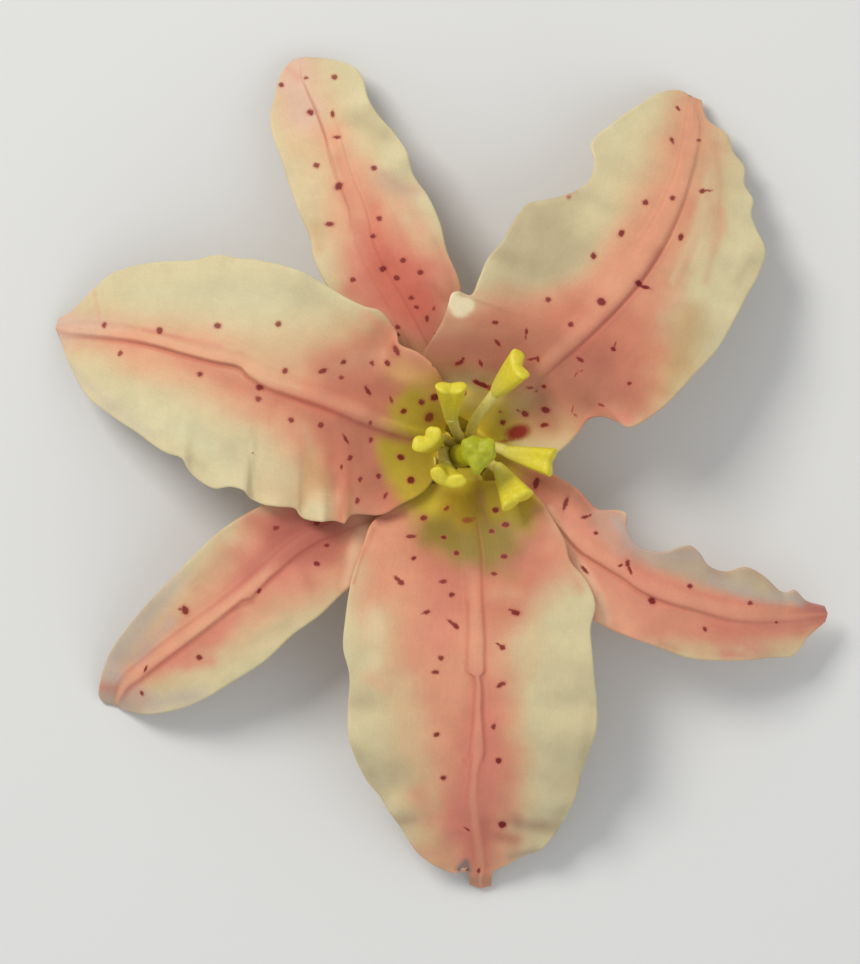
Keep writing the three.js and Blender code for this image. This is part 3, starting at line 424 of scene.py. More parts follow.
PETAL_BOTTOM = {
    "kind": PETAL, "droop": (0.95, 0.8), "crease": (0.7, 0.5), "crest": (0.35, 20),
    "ridge": [
        (0, 1.4, 1.4, 0.15, 0.2, 0), (0.09, 1.2, 1.4, 0.2, 0.4, 0), (0.18, 1.7, 1.4, 0.22, 0.5, 0),
        (0.27, 1.6, 1.4, 0.25, 0.5, 0.1), (0.3, 1.6, 1.3, 0.32, 0.6, 0.5),
        (0.38, 1.7, 1.5, 0.38, 0.7, 0.6), (0.466, 1.6, 1.8, 0.4, 0.7, 0.6),
        (0.474, 0.7, 0.6, 0.42, 0.7, 0.7), (0.556, 0.9, 0.75, 0.42, 0.7, 0.6),
        (0.61, 1.3, 0.95, 0.42, 0.7, 0.5), (0.66, 1.7, 1.2, 0.4, 0.6, 0.5),
        (0.68, 1.3, 0.7, 0.4, 0.4, 0.3), (0.72, 1, 0.6, 0.35, 0.3, 0.3), (0.78, 1.2, 1, 0.2, 0.1, 0.1),
        (0.86, 1.2, 1.2, 0.18, 0.1, 0.1), (0.93, 1.2, 1.2, 0.25, 0.3, 0.1), (1, 1.2, 1.2, 0.3, 0.2, 0.2),
    ],
    "left": [
        (3, -4.7, 0), (7.2, -4.8, 0.2), (11, -6.2, 0.4), (13.7, -8.8, 0.4), (15.8, -12.1, 0.2),
        (17.7, -15.7, 0), (18.6, -19.1, 0.2), (21.5, -22.7, 0.6), (23.2, -27.2, 0.4), (22.4, -31.3, -0.2),
        (22.7, -36, 0.4), (23.2, -41.2, -0.2), (23.6, -44.6, -0.9), (23.4, -49.6, 0.8), (22.1, -53.9, 0),
        (20.9, -57.4, -0.9), (19.5, -62.4, 0.7), (17.2, -66.9, -0.9), (15, -69.9, 0.2), (13, -71.8, 0.4),
        (11.3, -72.2, -0.5), (7.5, -74.1, 0), (4.9, -75.5, 0), (4.7, -78.1, 0),
    ],
    "rib": [
        (0.4, -4.9), (0.8, -11.5), (1.2, -18), (1.5, -26), (1.8, -33), (1.9, -39), (2.2, -42), (2.1, -46),
        (2, -50), (1.8, -54), (1.3, -58), (1.2, -62), (1.6, -66), (2.2, -70), (2.6, -74), (2.7, -78.7),
    ],
    "right": [
        (-3, -4.9, -0.2), (-7.4, -5.6, -0.8), (-11.4, -8, -1.1), (-15, -10.4, -0.9), (-17.2, -12.8, -0.2),
        (-18.2, -15.6, 0.4), (-20.6, -23, 0.6), (-21.9, -31, 0.5), (-22.1, -35, 0.2), (-21, -39.6, 0.3),
        (-21.3, -45.6, -0.7), (-21.3, -50, 0.4), (-20.4, -53.6, 0.8), (-17.9, -58.9, -0.9),
        (-15.6, -61.6, -0.3), (-13.9, -64.5, 0.7), (-11.8, -67.4, -0.7), (-9.2, -71.5, 0.3),
        (-6.5, -73.8, 0.3), (-4.3, -75, 0), (-1.9, -75.6, 0.2), (-0.7, -74.7, -0.5), (0.3, -75.6, -0.4),
        (0.7, -77.9, 0),
    ],
    "paint": [
        (BUFF, [(-4, -14, 18), (-5, -26, 15), (-3, -34, 12.5), (-3, -42, 12.5), (-1, -52, 12),
         (0, -62, 11), (1, -72, 10)], 8, 0.9),
        (PEACH, [(-2, -12, 18), (-4, -22, 15), (-4, -30, 12), (-1.5, -38, 8.5), (1, -46, 8), (2, -54, 8),
         (2, -66, 6), (2, -77, 4.5)], 8, 0.95),
        (ROSE, [(2, -40, 1), (2.8, -49, 3.5), (2.5, -58, 5), (1, -66, 5.5), (2, -71, 3)], 6, 0.85),
        (DEEP_ROSE, [(2, -68, 2), (2.5, -73, 2)], 5, 0.7),
        (PEACH, [(-9, -72, 1), (-5, -72.5, 2)], 4, 0.55),
        (BUFF, [(-14, -28, 2.5), (-14, -36, 2.5)], 5, 0.6),
        (PEACH, [(-17, -40, 1.5), (-14, -42.5, 1)], 4, 0.4),
        (SALMON, [(-6, -18, 4), (0, -25, 5), (8, -25, 5), (13, -20, 5), (17, -17, 2)], 9, 0.9),
        (BROWN_PINK, [(-4, -21, 1.5), (1, -20, 2), (9, -19.5, 2.5), (12, -14, 1)], 6, 0.7),
        (ROSE, [(-4, -24, 3), (-4, -33, 3.5)], 6, 0.4),
        (LIME, [(-7, -8, 4), (0, -8, 7), (8, -9, 5)], 5, 0.95),
        (OLIVE, [(-5, -13.5, 3.5), (0, -15.5, 4.5), (5.5, -15, 4)], 6, 1.0),
        # Painted light in the throat, where it lies in shade
        (THROAT_LIGHT, [(-6, -9.5, 1.5)], 4, 0.4),
        (OLIVE, [(4.5, -18, 2.5), (5, -20.5, 1.5), (8.5, -22, 1)], 4, 0.55),
        (OLIVE, [(0.4, -11.5, 1), (0.4, -16, 1.2)], 3, 0.6),
        (SALMON, [(13.5, -11, 1), (17.5, -18, 1.5), (20.5, -24, 0.8)], 4, 0.55),
        # The throat stroke is painted light for the shade deep in the throat
        (GOLD, [(-3, -10, 1), (0, -5, 3), (0, -11, 2)], 4, 0.8), (THROAT_LIGHT, [(0, 0, 6.4)], 3, 1.0),
        (BROWN_PINK, [(2, -4.5, 0.6), (2.8, -9, 0.8), (3.6, -12, 0.6)], 2, 0.5),
        # Painted shade from here to the maroon stroke: valleys of the margins' waves and the fold across
        # the tip
        (GREY_CREAM, [(-20, -45, 2), (-17, -44, 1.5)], 5, 0.6),
        (GREY_CREAM, [(-16, -60, 2), (-12, -58, 2)], 6, 0.6),
        (GREY_CREAM, [(14, -58, 1), (18, -59, 2.5)], 6, 0.6),
        (GREY_CREAM, [(7, -67, 0.8), (16, -67.5, 1)], 3, 0.6),
        (BROWN_PINK, [(6, -69, 1.2), (9, -69.5, 1)], 3, 0.5),
        (FOLD_SHADE, [(9.5, -66.5, 0.8), (17, -67.3, 0.5)], 2.6, 0.5),
        (BROWN_PINK, [(3.5, -66.2, 0.9), (9, -66, 0.9)], 3, 0.5),
        (FOLD_SHADE, [(-13, -66.5, 0.3), (-9.5, -65.8, 0.5)], 2.4, 0.35),
        (MAROON, [(3.6, -67.8, 0.8), (8, -69.2, 0.8)], 3.5, 0.5),
        # Painted shade in a dent by the tip, and on the peg that bends down
        (SLATE_SHADE, [(8, -72.6, 0.3), (12.5, -71.4, 0.5)], 2, 0.4),
        (FOLD_SHADE, [(1.5, -77, 0.9), (4.2, -77, 0.9)], 2, 0.55),
        (PALE, [(14, -63.5, 1), (17, -62.5, 1)], 3, 0.5), (BUFF, [(5, -25, 1), (9, -25, 1.2)], 4, 0.4),
        # Painted shadow cast by the left petal's edge
        (MAROON, [(-15.5, -12.1, 0.5), (-11, -10.9, 0.6)], 1.6, 0.6),
        # Painted shade along this margin's rounded rim
        (SALMON, [(-16.6, -13.6, 0.3), (-18.6, -18, 0.3), (-20.2, -23, 0.3)], 1, 0.8),
        (ROSE, [(-9, -61, 1.2), (-6.5, -66, 1.2)], 4, 0.4),
        # Painted shade in the valleys along both margins
        (GREY_CREAM, [(-20.5, -52, 0.6), (-14.5, -63, 0.8)], 3, 0.6),
        (GREY_CREAM, [(23, -45, 0.6), (20.5, -58, 0.8), (16, -67.5, 0.8)], 3, 0.6),
        (PALE, [(-16, -29.5, 1.8), (-16.5, -37, 1.8)], 4, 0.55),
        (BUFF, [(12.5, -28, 1.2), (11.5, -40, 1.2)], 5, 0.5),
        (ROSE, [(0.8, -39, 0.2), (0.8, -40.6, 0.2)], 0.5, 0.6),
        (ROSE, [(3.3, -38.7, 0.2), (3.3, -40.3, 0.2)], 0.5, 0.6),
        (DEEP_ROSE, [(-0.3, -54.8, 0.2), (-0.4, -56.2, 0.2)], 0.5, 0.6),
        (DEEP_ROSE, [(3.3, -53.8, 0.2), (3.2, -55.2, 0.2)], 0.5, 0.6),
        # Painted shade on the peg at the tip
        (SLATE_SHADE, [(-1.2, -74.9, 0.6), (0, -73.6, 0.6), (0.5, -74.8, 0.4)], 1.2, 0.9),
    ],
    "spots": [
        (5.3, -10.1, 0.6, 0.48, 0, 0.9), (-3.5, -9.8, 0.5, 0.36, 40, 0.75),
        (-7.6, -11.5, 0.6, 0.46, 0, 0.85), (7.1, -12.7, 0.65, 0.45, 0, 0.9),
        (4.6, -13.9, 0.52, 0.4, 0, 0.85), (-4, -15, 0.5, 0.3, 0, 0.95), (-9.8, -14.8, 0.85, 0.35, 5, 0.8),
        (-1.7, -17.8, 0.5, 0.42, 0, 0.95), (-9.4, -18.7, 0.48, 0.36, 20, 0.95),
        (6.8, -18.4, 0.62, 0.4, 0, 0.9), (5, -21.5, 0.52, 0.34, 0, 0.85),
        (-4.1, -22.9, 0.7, 0.36, 5, 0.85), (-11.7, -23.1, 0.6, 0.45, -20, 0.85),
        (-12.3, -22.5, 0.75, 0.3, -40, 0.8), (-2.6, -25.3, 0.5, 0.4, 0, 0.9),
        (-7, -28.4, 0.6, 0.34, 10, 0.85), (-7.8, -28.6, 0.4, 0.14, 20, 0.5),
        (8.9, -28.5, 0.8, 0.5, -15, 0.95), (8.1, -28, 0.5, 0.22, -10, 0.8),
        (-1.8, -30.9, 0.6, 0.42, -50, 0.9), (-2.6, -30.3, 0.9, 0.32, -35, 0.8),
        (6.5, -34.7, 0.6, 0.45, -20, 0.9), (5.8, -34.2, 0.5, 0.2, -25, 0.8),
        (-4.5, -36.6, 0.5, 0.42, 0, 0.85), (-5.5, -39.2, 0.62, 0.4, 0, 0.85),
        (6.1, -41.5, 0.7, 0.36, 35, 0.85), (6.6, -41.2, 0.5, 0.4, 0, 0.8), (4.9, -49, 0.52, 0.38, 80, 0.8),
        (-5.3, -50.4, 0.55, 0.4, 10, 0.9), (5.9, -55.1, 0.55, 0.52, 0, 0.95),
        (-4.1, -58.2, 0.52, 0.42, 0, 0.9), (6.5, -66.7, 0.7, 0.64, 0, 1.0),
        (0.2, -67.5, 0.55, 0.2, -35, 0.7), (2.3, -75.1, 0.5, 0.28, 75, 0.9),
    ],
    "smears": [
        (0.3, -11.9, 1.1, 0.5, 0, 0.65), (1.3, -11.6, 0.5, 0.3, 0, 0.4),
    ],
}
SEPAL_TOP = {
    "kind": SEPAL, "droop": (0.95, 0.6), "crease": (0.4, 0.4), "crest": (0, 10),
    "ridge": [
        (0, 1.5, 1.5, 0.1, 0.2, 0.3), (0.3, 1.7, 1.6, 0.14, 0.3, 0.6), (0.45, 1.6, 1.5, 0.14, 0.3, 0.6),
        (0.55, 1.5, 1.6, 0.14, 0.3, 0.5), (0.65, 1.5, 1.5, 0.14, 0.5, 0.2),
        (0.75, 1.5, 1.5, 0.14, 0.6, 0.3), (0.79, 1.4, 1.4, 0.12, 0.6, 0.2), (0.85, 1.2, 1.4, 0.1, 0.6, 0),
        (0.95, 1, 1.2, 0.1, 0.4, 0), (1, 0.8, 1, 0.1, 0, 0),
    ],
    "left": [
        (-4.1, 3.6, 0), (-8, 9, 0), (-13, 15.5, 0), (-19, 22.6, 0), (-25.4, 30.8, 0.3), (-27.5, 35.5, 0.2),
        (-28.1, 38.6, -0.6), (-30.1, 43.9, 0.4), (-32.1, 49.2, -0.2), (-33.5, 53.9, 0.5),
        (-34.9, 57.9, 0.2), (-35.3, 61.2, 0.6), (-34.4, 65, 0), (-33.2, 69, 0.3), (-31.4, 71.2, 0),
    ],
    "rib": [
        (-1.8, 4.5), (-4.5, 11), (-8, 18.5), (-11.4, 25), (-15, 31.3), (-17, 35), (-18.2, 38), (-18.8, 41),
        (-19.7, 44.5), (-21, 47.5), (-22.3, 51), (-23.3, 54.5), (-23.8, 57), (-25, 60), (-26.4, 63),
        (-27.8, 66), (-28.9, 69), (-29.1, 71.9),
    ],
    "right": [
        (1.7, 5.2, 0), (0.3, 11, 0), (-0.4, 18, 0), (-0.6, 25, 0), (-1.1, 30.6, 0.3), (-3.4, 36.4, 0.2),
        (-4.6, 41.4, 0.5), (-6.9, 46.5, 0.1), (-9.3, 50.1, -0.7), (-10.7, 54.5, 0.6), (-13.1, 58.2, -0.3),
        (-15.5, 60.9, -0.8), (-17.6, 64, 0.5), (-19.3, 69, 0.2), (-22.6, 70.9, 0.1), (-26.8, 71.6, 0),
    ],
    "paint": [
        (BUFF, [(-31, 68, 5), (-27.5, 60, 6), (-23.5, 50, 6), (-19.5, 42, 8), (-13.5, 34, 10.5)], 8, 0.8),
        (BLUSH, [(-31, 70, 4), (-29.5, 62, 3.5)], 6, 0.85),
        (PEACH, [(-24, 57, 1.5), (-21, 50, 3), (-18.5, 43, 5), (-16, 37, 6.5), (-11, 29, 10)], 7, 0.9),
        (ROSE, [(-18, 40, 1.5), (-15, 35, 4), (-10.5, 29, 6), (-8, 22, 5)], 6, 0.85),
        (DEEP_ROSE, [(-14, 32.5, 0.8), (-10, 28.5, 2.5), (-7.5, 24.5, 3)], 5, 0.85),
        (SALMON, [(-23, 53, 0.6), (-21, 46, 1), (-19.5, 40, 1.4), (-16, 33, 1.6), (-12, 26, 1.6)], 3, 0.5),
        (ROSE, [(-22, 29, 0.8), (-20, 29, 1.6), (-17, 28, 2)], 4, 0.6),
        (DEEP_ROSE, [(-3, 33, 1.2), (-2.5, 28, 1.4)], 4, 0.75),
        (CORAL, [(-16.5, 43.5, 1.5), (-15.5, 38, 2.5), (-13, 33, 3.5), (-9, 27, 4)], 6, 0.65),
        (ROSE, [(-21, 37, 0.8), (-19.8, 31, 1.5)], 4, 0.5),
        (ROSE, [(-12.8, 42.6, 0.8), (-11.2, 38, 0.9)], 4, 0.5),
        (MAROON, [(-5.8, 30.2, 0.7), (-4, 27.6, 0.7)], 3, 0.5),
        # Painted shade on a lobe of the left margin
        (TAN, [(-27, 41, 0.5), (-26.4, 37, 0.7)], 3, 0.5),
        (ROSE, [(-32, 69.3, 0.4), (-30.2, 67.8, 0.5)], 2.5, 0.5),
        (TAN, [(-18, 59, 0.8), (-16, 54, 0.8)], 4, 0.35),
        (DEEP_ROSE, [(-5.5, 38, 0.6), (-4, 35, 0.8)], 3, 0.4),
        (ROSE, [(-10.5, 45, 1.2), (-8, 41, 1.5)], 5, 0.4),
        # Painted shade in the dips of the right margin
        (GREY_CREAM, [(-19.5, 60.5, 1.2), (-15, 57.5, 1)], 4.5, 0.8),
        (DUSK_SHADE, [(-15, 50, 0.6), (-12, 48, 1.2), (-9.5, 47.5, 1)], 4.5, 0.8),
        (TAN, [(-11, 20, 1.5), (-6, 18, 2)], 5, 0.6), (LIME, [(0, 0, 12)], 5, 0.9),
        # Painted light in the throat, where it lies in shade
        (THROAT_LIGHT, [(0, 0, 7)], 3, 0.9),
        # Painted shade in the fine grooves beside the ridge
        (CREASE_SHADE, [(-29, 66.5, 0.1), (-27, 62, 0.15), (-25.3, 57, 0.15), (-23, 49.5, 0.15), (-21, 44, 0.15),
         (-20.8, 40, 0.1)], 0.7, 0.5),
    ],
    "spots": [
        (-33.3, 66.5, 0.45, 0.4, 0, 0.85), (-28.8, 67.8, 0.35, 0.3, 0, 0.7),
        (-23.7, 67.9, 0.5, 0.45, 0, 0.8), (-28, 61.5, 0.6, 0.5, 0, 0.9), (-24, 61.2, 0.6, 0.35, 90, 0.85),
        (-23.2, 57, 0.6, 0.34, 0, 0.85), (-26.9, 51.9, 0.5, 0.45, 0, 0.85),
        (-16.6, 51.4, 0.5, 0.45, 0, 0.85), (-22.9, 48.1, 0.75, 0.6, 30, 0.92),
        (-24.5, 41.3, 0.8, 0.4, 0, 0.85), (-15.6, 42.3, 0.5, 0.45, 0, 0.85),
        (-16.7, 39.1, 0.5, 0.45, 0, 0.85), (-11.3, 34.8, 0.5, 0.45, 0, 0.85),
        (-14.9, 33.3, 0.68, 0.5, 20, 0.92), (-8.2, 32.6, 0.5, 0.42, 0, 0.85),
        (-12.5, 31.6, 0.5, 0.42, 0, 0.85), (-20.3, 31.3, 0.5, 0.42, 0, 0.8), (-9.8, 28, 0.5, 0.42, 0, 0.8),
        (-8.9, 26.4, 0.45, 0.38, 0, 0.8), (-5.8, 26.2, 0.4, 0.25, 70, 0.6), (-7, 24.3, 0.6, 0.35, 90, 0.8),
        (-12.3, 22.8, 0.45, 0.35, 0, 0.8), (-12.3, 21.4, 0.45, 0.35, 0, 0.8),
        (-5.5, 21.6, 0.25, 0.2, 0, 0.5), (-5.6, 19.4, 0.55, 0.45, 0, 0.8),
    ],
    "smears": [
        (-5.6, 19.4, 0.6, 0.5, 0, 0.4),
    ],
}
SEPAL_LOWER_RIGHT = {
    "kind": SEPAL, "droop": (0.95, 0.6), "crease": (0.8, 0.15), "crest": (0.3, 10),
    "ridge": [
        (0, 1.5, 1.3, 0.2, 0, 0.2), (0.16, 1.8, 1.3, 0.4, 0, 0.5), (0.25, 2, 1.3, 0.5, 0, 0.9),
        (0.45, 2, 1.5, 0.6, 0.1, 1), (0.55, 1.9, 1.6, 0.6, 0.2, 1), (0.65, 1.8, 1.5, 0.55, 0.2, 0.8),
        (0.75, 1.8, 1.6, 0.5, 0.3, 0.6), (0.85, 1.6, 1.5, 0.5, 0.4, 0.4), (0.95, 1.3, 1.3, 0.35, 0.2, 0.2),
        (1, 1, 1, 0.2, 0, 0),
    ],
    "left": [
        (5.3, 1.5, 0), (11, -1.4, 0), (16, -3.8, 0.1), (20.2, -6.5, 0.3), (23.6, -9.8, -0.5),
        (26.6, -10, 0.4), (28.6, -10.7, 1.1), (28.8, -13.5, 0.9), (31.2, -16.7, 0.8), (35.6, -17.6, 0.8),
        (40.2, -16.5, 1.2), (42.1, -17.9, 0.4), (43.6, -20, -0.3), (46.6, -21.1, -0.6), (50.3, -20.4, 0.6),
        (53.6, -22, 0.5), (57.2, -24.8, -0.6), (59.2, -24.5, 0.4), (61.4, -26.4, 0.2), (64.8, -27.4, 0),
    ],
    "rib": [
        (4.4, -2.2), (9, -5.8), (13.5, -9.2), (16.8, -12), (20.5, -16.2), (24.5, -18.8), (28, -20.9),
        (32, -23.6), (36, -25.3), (41.5, -26.9), (47, -28.4), (52, -29), (58, -29), (65.5, -28.8),
    ],
    "right": [
        (2.5, -4.9, 0), (6.8, -9.5, 0), (11, -16, 0), (16, -23, 0), (20.4, -28, 0), (25, -31.1, 0.2),
        (29.3, -32.9, 0), (34.3, -34.7, -0.5), (40, -36.7, 0.3), (48.5, -37.3, 0.4), (54.9, -36.8, -0.3),
        (59.2, -36.3, 0.2), (61.8, -33, 0.1), (65, -30.2, 0),
    ],
    "paint": [
        (GREY_CREAM, [(26, -11, 1), (34, -18, 2), (42, -19.5, 2), (50, -22.5, 2), (59, -26, 1)], 5, 0.6),
        (PEACH, [(8, -4, 8), (20, -14, 8), (30, -25, 8.5), (40, -29, 6), (50, -30, 5.5),
         (64, -29, 4)], 5, 0.95),
        # Painted light over the shadow that the bottom petal casts on this sepal
        (CREST_HIGHLIGHT, [(20, -20, 1.5), (25, -26, 3), (29, -31, 2)], 6, 0.8),
        (ROSE, [(12, -8, 6), (24, -17, 6), (36, -27, 6), (50, -31, 5), (62, -29, 3)], 6, 0.4),
        (ROSE, [(29, -20.5, 1.2), (34, -25, 1.2), (37, -26.5, 0.6)], 4, 0.7),
        (ROSE, [(44, -29.2, 0.8), (50, -30.6, 1), (57, -30.2, 1), (64, -29, 1.6)], 4, 0.7),
        # Painted shade along the upper margin
        (DUSK_SHADE, [(24, -9, 0.8), (27.5, -12.5, 1.4), (32, -17.5, 1.8), (40, -18.5, 2.6), (46, -21.5, 2.4),
         (52, -23, 2.4), (60, -26, 1)], 4, 0.85),
        (BROWN_PINK, [(20.5, -8, 1), (23.4, -12, 1.2)], 3, 0.75),
        (BROWN_PINK, [(29, -16.5, 0.8), (31, -19.5, 0.8)], 3, 0.5),
        (BUFF, [(37, -34.4, 1), (43.5, -35.4, 1.2)], 3.5, 0.8),
        (BUFF, [(55.5, -35, 0.8), (59, -34, 1)], 3.5, 0.8),
        (ROSE, [(47, -32.5, 1.5), (52, -35.5, 2)], 5, 0.65),
        (ROSE, [(54, -31.4, 0.8), (60, -31.6, 0.8)], 3, 0.6),
        (DEEP_ROSE, [(59, -28.6, 0.8), (65, -28.6, 1.4)], 3, 0.6),
        (ROSE, [(28, -18.4, 0.3), (35, -22.4, 0.4), (44, -25.7, 0.3), (58, -27.5, 0.3)], 1.6, 0.5),
        # Painted shade along the upper margin, which turns from the light
        (ASH_SHADE, [(27.4, -12.4, 1), (29.5, -16, 1.4), (33, -18, 1.2), (37, -18.6, 1),
         (41.5, -18.4, 1)], 3, 0.75),
        (CREAM, [(48, -22.6, 0.8), (53.5, -24.6, 1.3), (58, -26, 0.8)], 3.5, 0.6),
        (BROWN_PINK, [(44, -21, 0.5), (47, -21.8, 0.7)], 2.5, 0.5),
        # Painted shade along the upper margin
        (ASH_SHADE, [(56, -25.4, 0.9), (60, -26.3, 0.9), (64.5, -27.6, 0.6)], 2.2, 0.75),
        (DUSK_SHADE, [(30, -18.5, 1.2), (36, -20, 1.4), (42, -22, 1.4)], 3, 0.55),
        (GREY_CREAM, [(34, -19.5, 1.2), (42, -20.5, 1.6), (50, -23, 1.6)], 4, 0.45),
        (ASH_SHADE, [(33, -19.6, 1), (42, -21, 1.2), (50, -23.6, 1)], 3, 0.3),
        (ASH_SHADE, [(44, -22.8, 0.7), (50, -25, 0.7), (57, -27, 0.5)], 2.5, 0.45),
        (CORAL, [(44, -31, 0.7), (52, -32, 0.9)], 3, 0.35),
        (DEEP_ROSE, [(61.6, -27.4, 0.6), (64.6, -28.2, 0.8)], 2, 0.8),
        (ROSE, [(46.5, -36, 0.9), (50, -36.2, 0.9)], 2.5, 0.8),
        (BROWN_PINK, [(35, -34.2, 0.4), (37.6, -35, 0.4)], 2, 0.4),
        (SALMON, [(8, -3, 3), (12, -8, 3)], 5, 0.6),
        # Painted light over the shadow that the bottom petal casts on this sepal
        (LIGHT_IN_SHADOW, [(15.2, -10, 0.3), (17.6, -15, 0.7), (19.2, -19, 0.8), (22, -22.4, 0.7), (24, -26, 0.9),
         (24.6, -29.6, 1.2)], 1.8, 0.8),
        # Painted shade by the upper margin's foot
        (DUSK_SHADE, [(23.4, -11, 1), (25.2, -14.4, 1.5), (27.5, -17.4, 1.1)], 3, 0.65),
        # The throat stroke is painted light for the shade deep in the throat
        (LIME, [(0, 0, 11)], 5, 0.8), (THROAT_LIGHT, [(0, 0, 6.5)], 3, 1.0),
    ],
    "spots": [
        (12.6, -5.3, 1, 0.5, 75, 0.9), (17.9, -8.9, 1.2, 0.34, 72, 0.85), (21.4, -11.3, 0.7, 0.3, 10, 0.9),
        (22.2, -11, 0.4, 0.2, 40, 0.8), (23.3, -14.2, 0.42, 0.32, 0, 0.9),
        (21.3, -20.8, 0.9, 0.3, -50, 0.9), (27.7, -20, 0.4, 0.25, 20, 0.85),
        (29, -19.6, 0.6, 0.4, 90, 0.9), (29.4, -20.8, 0.9, 0.25, -65, 0.85),
        (33.4, -26.4, 0.7, 0.55, -40, 0.95), (40.2, -23.8, 0.48, 0.4, -30, 0.9),
        (51.1, -26.8, 0.42, 0.34, 0, 0.8), (42.9, -31.5, 0.5, 0.34, -60, 0.85),
        (55.9, -30.3, 0.3, 0.2, 0, 0.85),
    ],
    "smears": [],
}
SEPAL_LOWER_LEFT = {
    "kind": SEPAL, "droop": (0.9, 3.0), "crease": (0.8, 0.7), "crest": (0.8, 38),
    "ridge": [
        (0, 1.4, 1.4, 0.2, 0.2, 0), (0.2, 1.4, 1.5, 0.35, 0.4, 0.2), (0.35, 1.3, 1.4, 0.4, 0.5, 0.3),
        (0.5, 1.3, 1.5, 0.5, 0.6, 0.4), (0.565, 1.8, 1.5, 0.5, 0.6, 0.4), (0.585, 1.1, 1.5, 0.5, 0.6, 0.4),
        (0.75, 1.3, 1.6, 0.5, 0.6, 0.4), (0.84, 1.5, 1.5, 0.5, 0.6, 0.4), (0.9, 1.7, 1.3, 0.4, 0.6, 0.3),
        (0.95, 1.2, 1.1, 0.3, 0.5, 0.3), (1, 1, 1, 0.2, 0.2, 0),
    ],
    "left": [
        (-2.5, -4.9, 0), (-6, -10, 0), (-12, -16.5, 0), (-17.5, -21.2, 0), (-22, -25, 0.1),
        (-26.3, -29, 0.3), (-31.2, -32.6, 0), (-36.1, -37.2, 0.3), (-41.5, -40.8, 0), (-48.8, -45, 0.3),
        (-54, -46.6, 0), (-58.6, -47, 0.1), (-62.2, -46.2, 0),
    ],
    "rib": [
        (-3.9, -2.9), (-10, -6.5), (-18, -10.5), (-25, -13.8), (-30.5, -17), (-35.5, -21.2), (-40, -25),
        (-45, -28.9), (-50.5, -33), (-56, -36.9), (-59.4, -39.4), (-61.7, -41.6), (-63.4, -45.6),
    ],
    "right": [
        (-5.5, 0, 0), (-11, -2.5, 0), (-20, -4, 0), (-30, -6, 0), (-38.2, -10, 0), (-44.1, -13.7, 0.2),
        (-50.2, -19.5, 0), (-55, -24.3, 0.2), (-60.1, -30.1, 0.3), (-64.3, -36, 0), (-66, -41, 0.2),
        (-66.2, -44, 0), (-65, -45.4, 0),
    ],
    "paint": [
        (GREY_CREAM, [(-42, -13, 1), (-50, -21, 1.5), (-60, -33, 2)], 6, 0.6),
        (BUFF, [(-63, -42, 5), (-50, -32, 8), (-38, -23, 10), (-28, -16, 12)], 8, 0.8),
        (PEACH, [(-61, -40, 2), (-50, -32, 4), (-42, -26, 5.5), (-34, -20, 7.5), (-26, -15, 10)], 7, 0.85),
        (ROSE, [(-44, -27.6, 1), (-37, -20.5, 4), (-30, -16.5, 6)], 5, 0.85),
        (ROSE, [(-66.5, -41.6, 1.3), (-60, -42.6, 1.2)], 4, 0.7),
        (ROSE, [(-60, -40, 1.2), (-52, -36.2, 2.2), (-46, -32.5, 1.8), (-41, -28.5, 0.8)], 4, 0.75),
        # Deep rose under the left petal's edge, with the shadow that edge casts painted in
        (DEEP_ROSE, [(-38, -12, 2), (-32, -14, 4), (-26, -16, 4)], 5, 0.8),
        (MAROON, [(-34, -14, 1), (-28, -13.5, 2), (-23, -13, 2)], 4, 0.9),
        # Painted shade round the tip, which bends down from the light
        (ASH_SHADE, [(-50, -21, 1), (-57, -29, 1.5), (-64, -38, 2.5), (-64, -44, 3), (-56, -45, 1.5),
         (-48, -43.5, 1)], 5, 0.7),
        (DUSK_SHADE, [(-64, -43, 1), (-59, -44.5, 1.5)], 4, 0.6),
        (ASH_SHADE, [(-53, -30, 0.9), (-59, -37, 1.1)], 3, 0.5),
        (DEEP_ROSE, [(-66, -42, 1), (-62, -42.4, 0.8)], 3, 0.6),
        (ROSE, [(-50, -38, 0.9), (-46, -37.2, 0.9)], 3, 0.7),
        (DEEP_ROSE, [(-30, -19.5, 1), (-28, -23, 0.9)], 4, 0.55),
        (MAROON, [(-40, -22, 1.5), (-34, -18, 3), (-28, -15, 3)], 5, 0.4),
        (BROWN_PINK, [(-49, -23, 1.5), (-43, -18, 1.8)], 4, 0.3),
        # Painted highlight along the ridge's crest
        (BUFF, [(-50, -33.4, 0.4), (-44.5, -29.2, 0.4)], 1.6, 0.6),
        (GREY_CREAM, [(-38, -33.5, 0.7), (-32, -30, 0.7)], 3, 0.6),
        # Painted shade in the groove beside the ridge
        (DEEP_ROSE, [(-42, -28, 0.3), (-38.5, -26.6, 0.3)], 1.2, 0.7),
        # Painted light over the shadow that the bottom petal casts on this sepal
        (LIGHT_IN_SHADOW, [(-21.6, -23.5, 0.8), (-20, -18, 1.1), (-18.2, -13.2, 0.9)], 2, 0.95),
        # The throat stroke is painted light for the shade deep in the throat
        (OLIVE, [(0, 0, 9)], 5, 0.8), (THROAT_LIGHT, [(0, 0, 7)], 3, 0.9),
    ],
    "spots": [
        (-34.1, -13.3, 0.6, 0.42, 10, 0.8), (-26.8, -12.4, 0.6, 0.42, 0, 0.8),
        (-25, -16.4, 0.5, 0.36, 10, 0.85), (-26.8, -19.7, 0.58, 0.42, -30, 0.9),
        (-37.2, -24.6, 0.5, 0.3, 50, 0.9), (-50.5, -28.1, 0.8, 0.6, -60, 0.9),
        (-51.2, -27.9, 0.5, 0.25, 0, 0.6), (-48, -36.6, 0.5, 0.46, 0, 0.9),
        (-57.7, -38.7, 0.6, 0.24, 65, 0.85), (-58.4, -43.1, 0.5, 0.3, -60, 0.85),
    ],
    "smears": [],
}
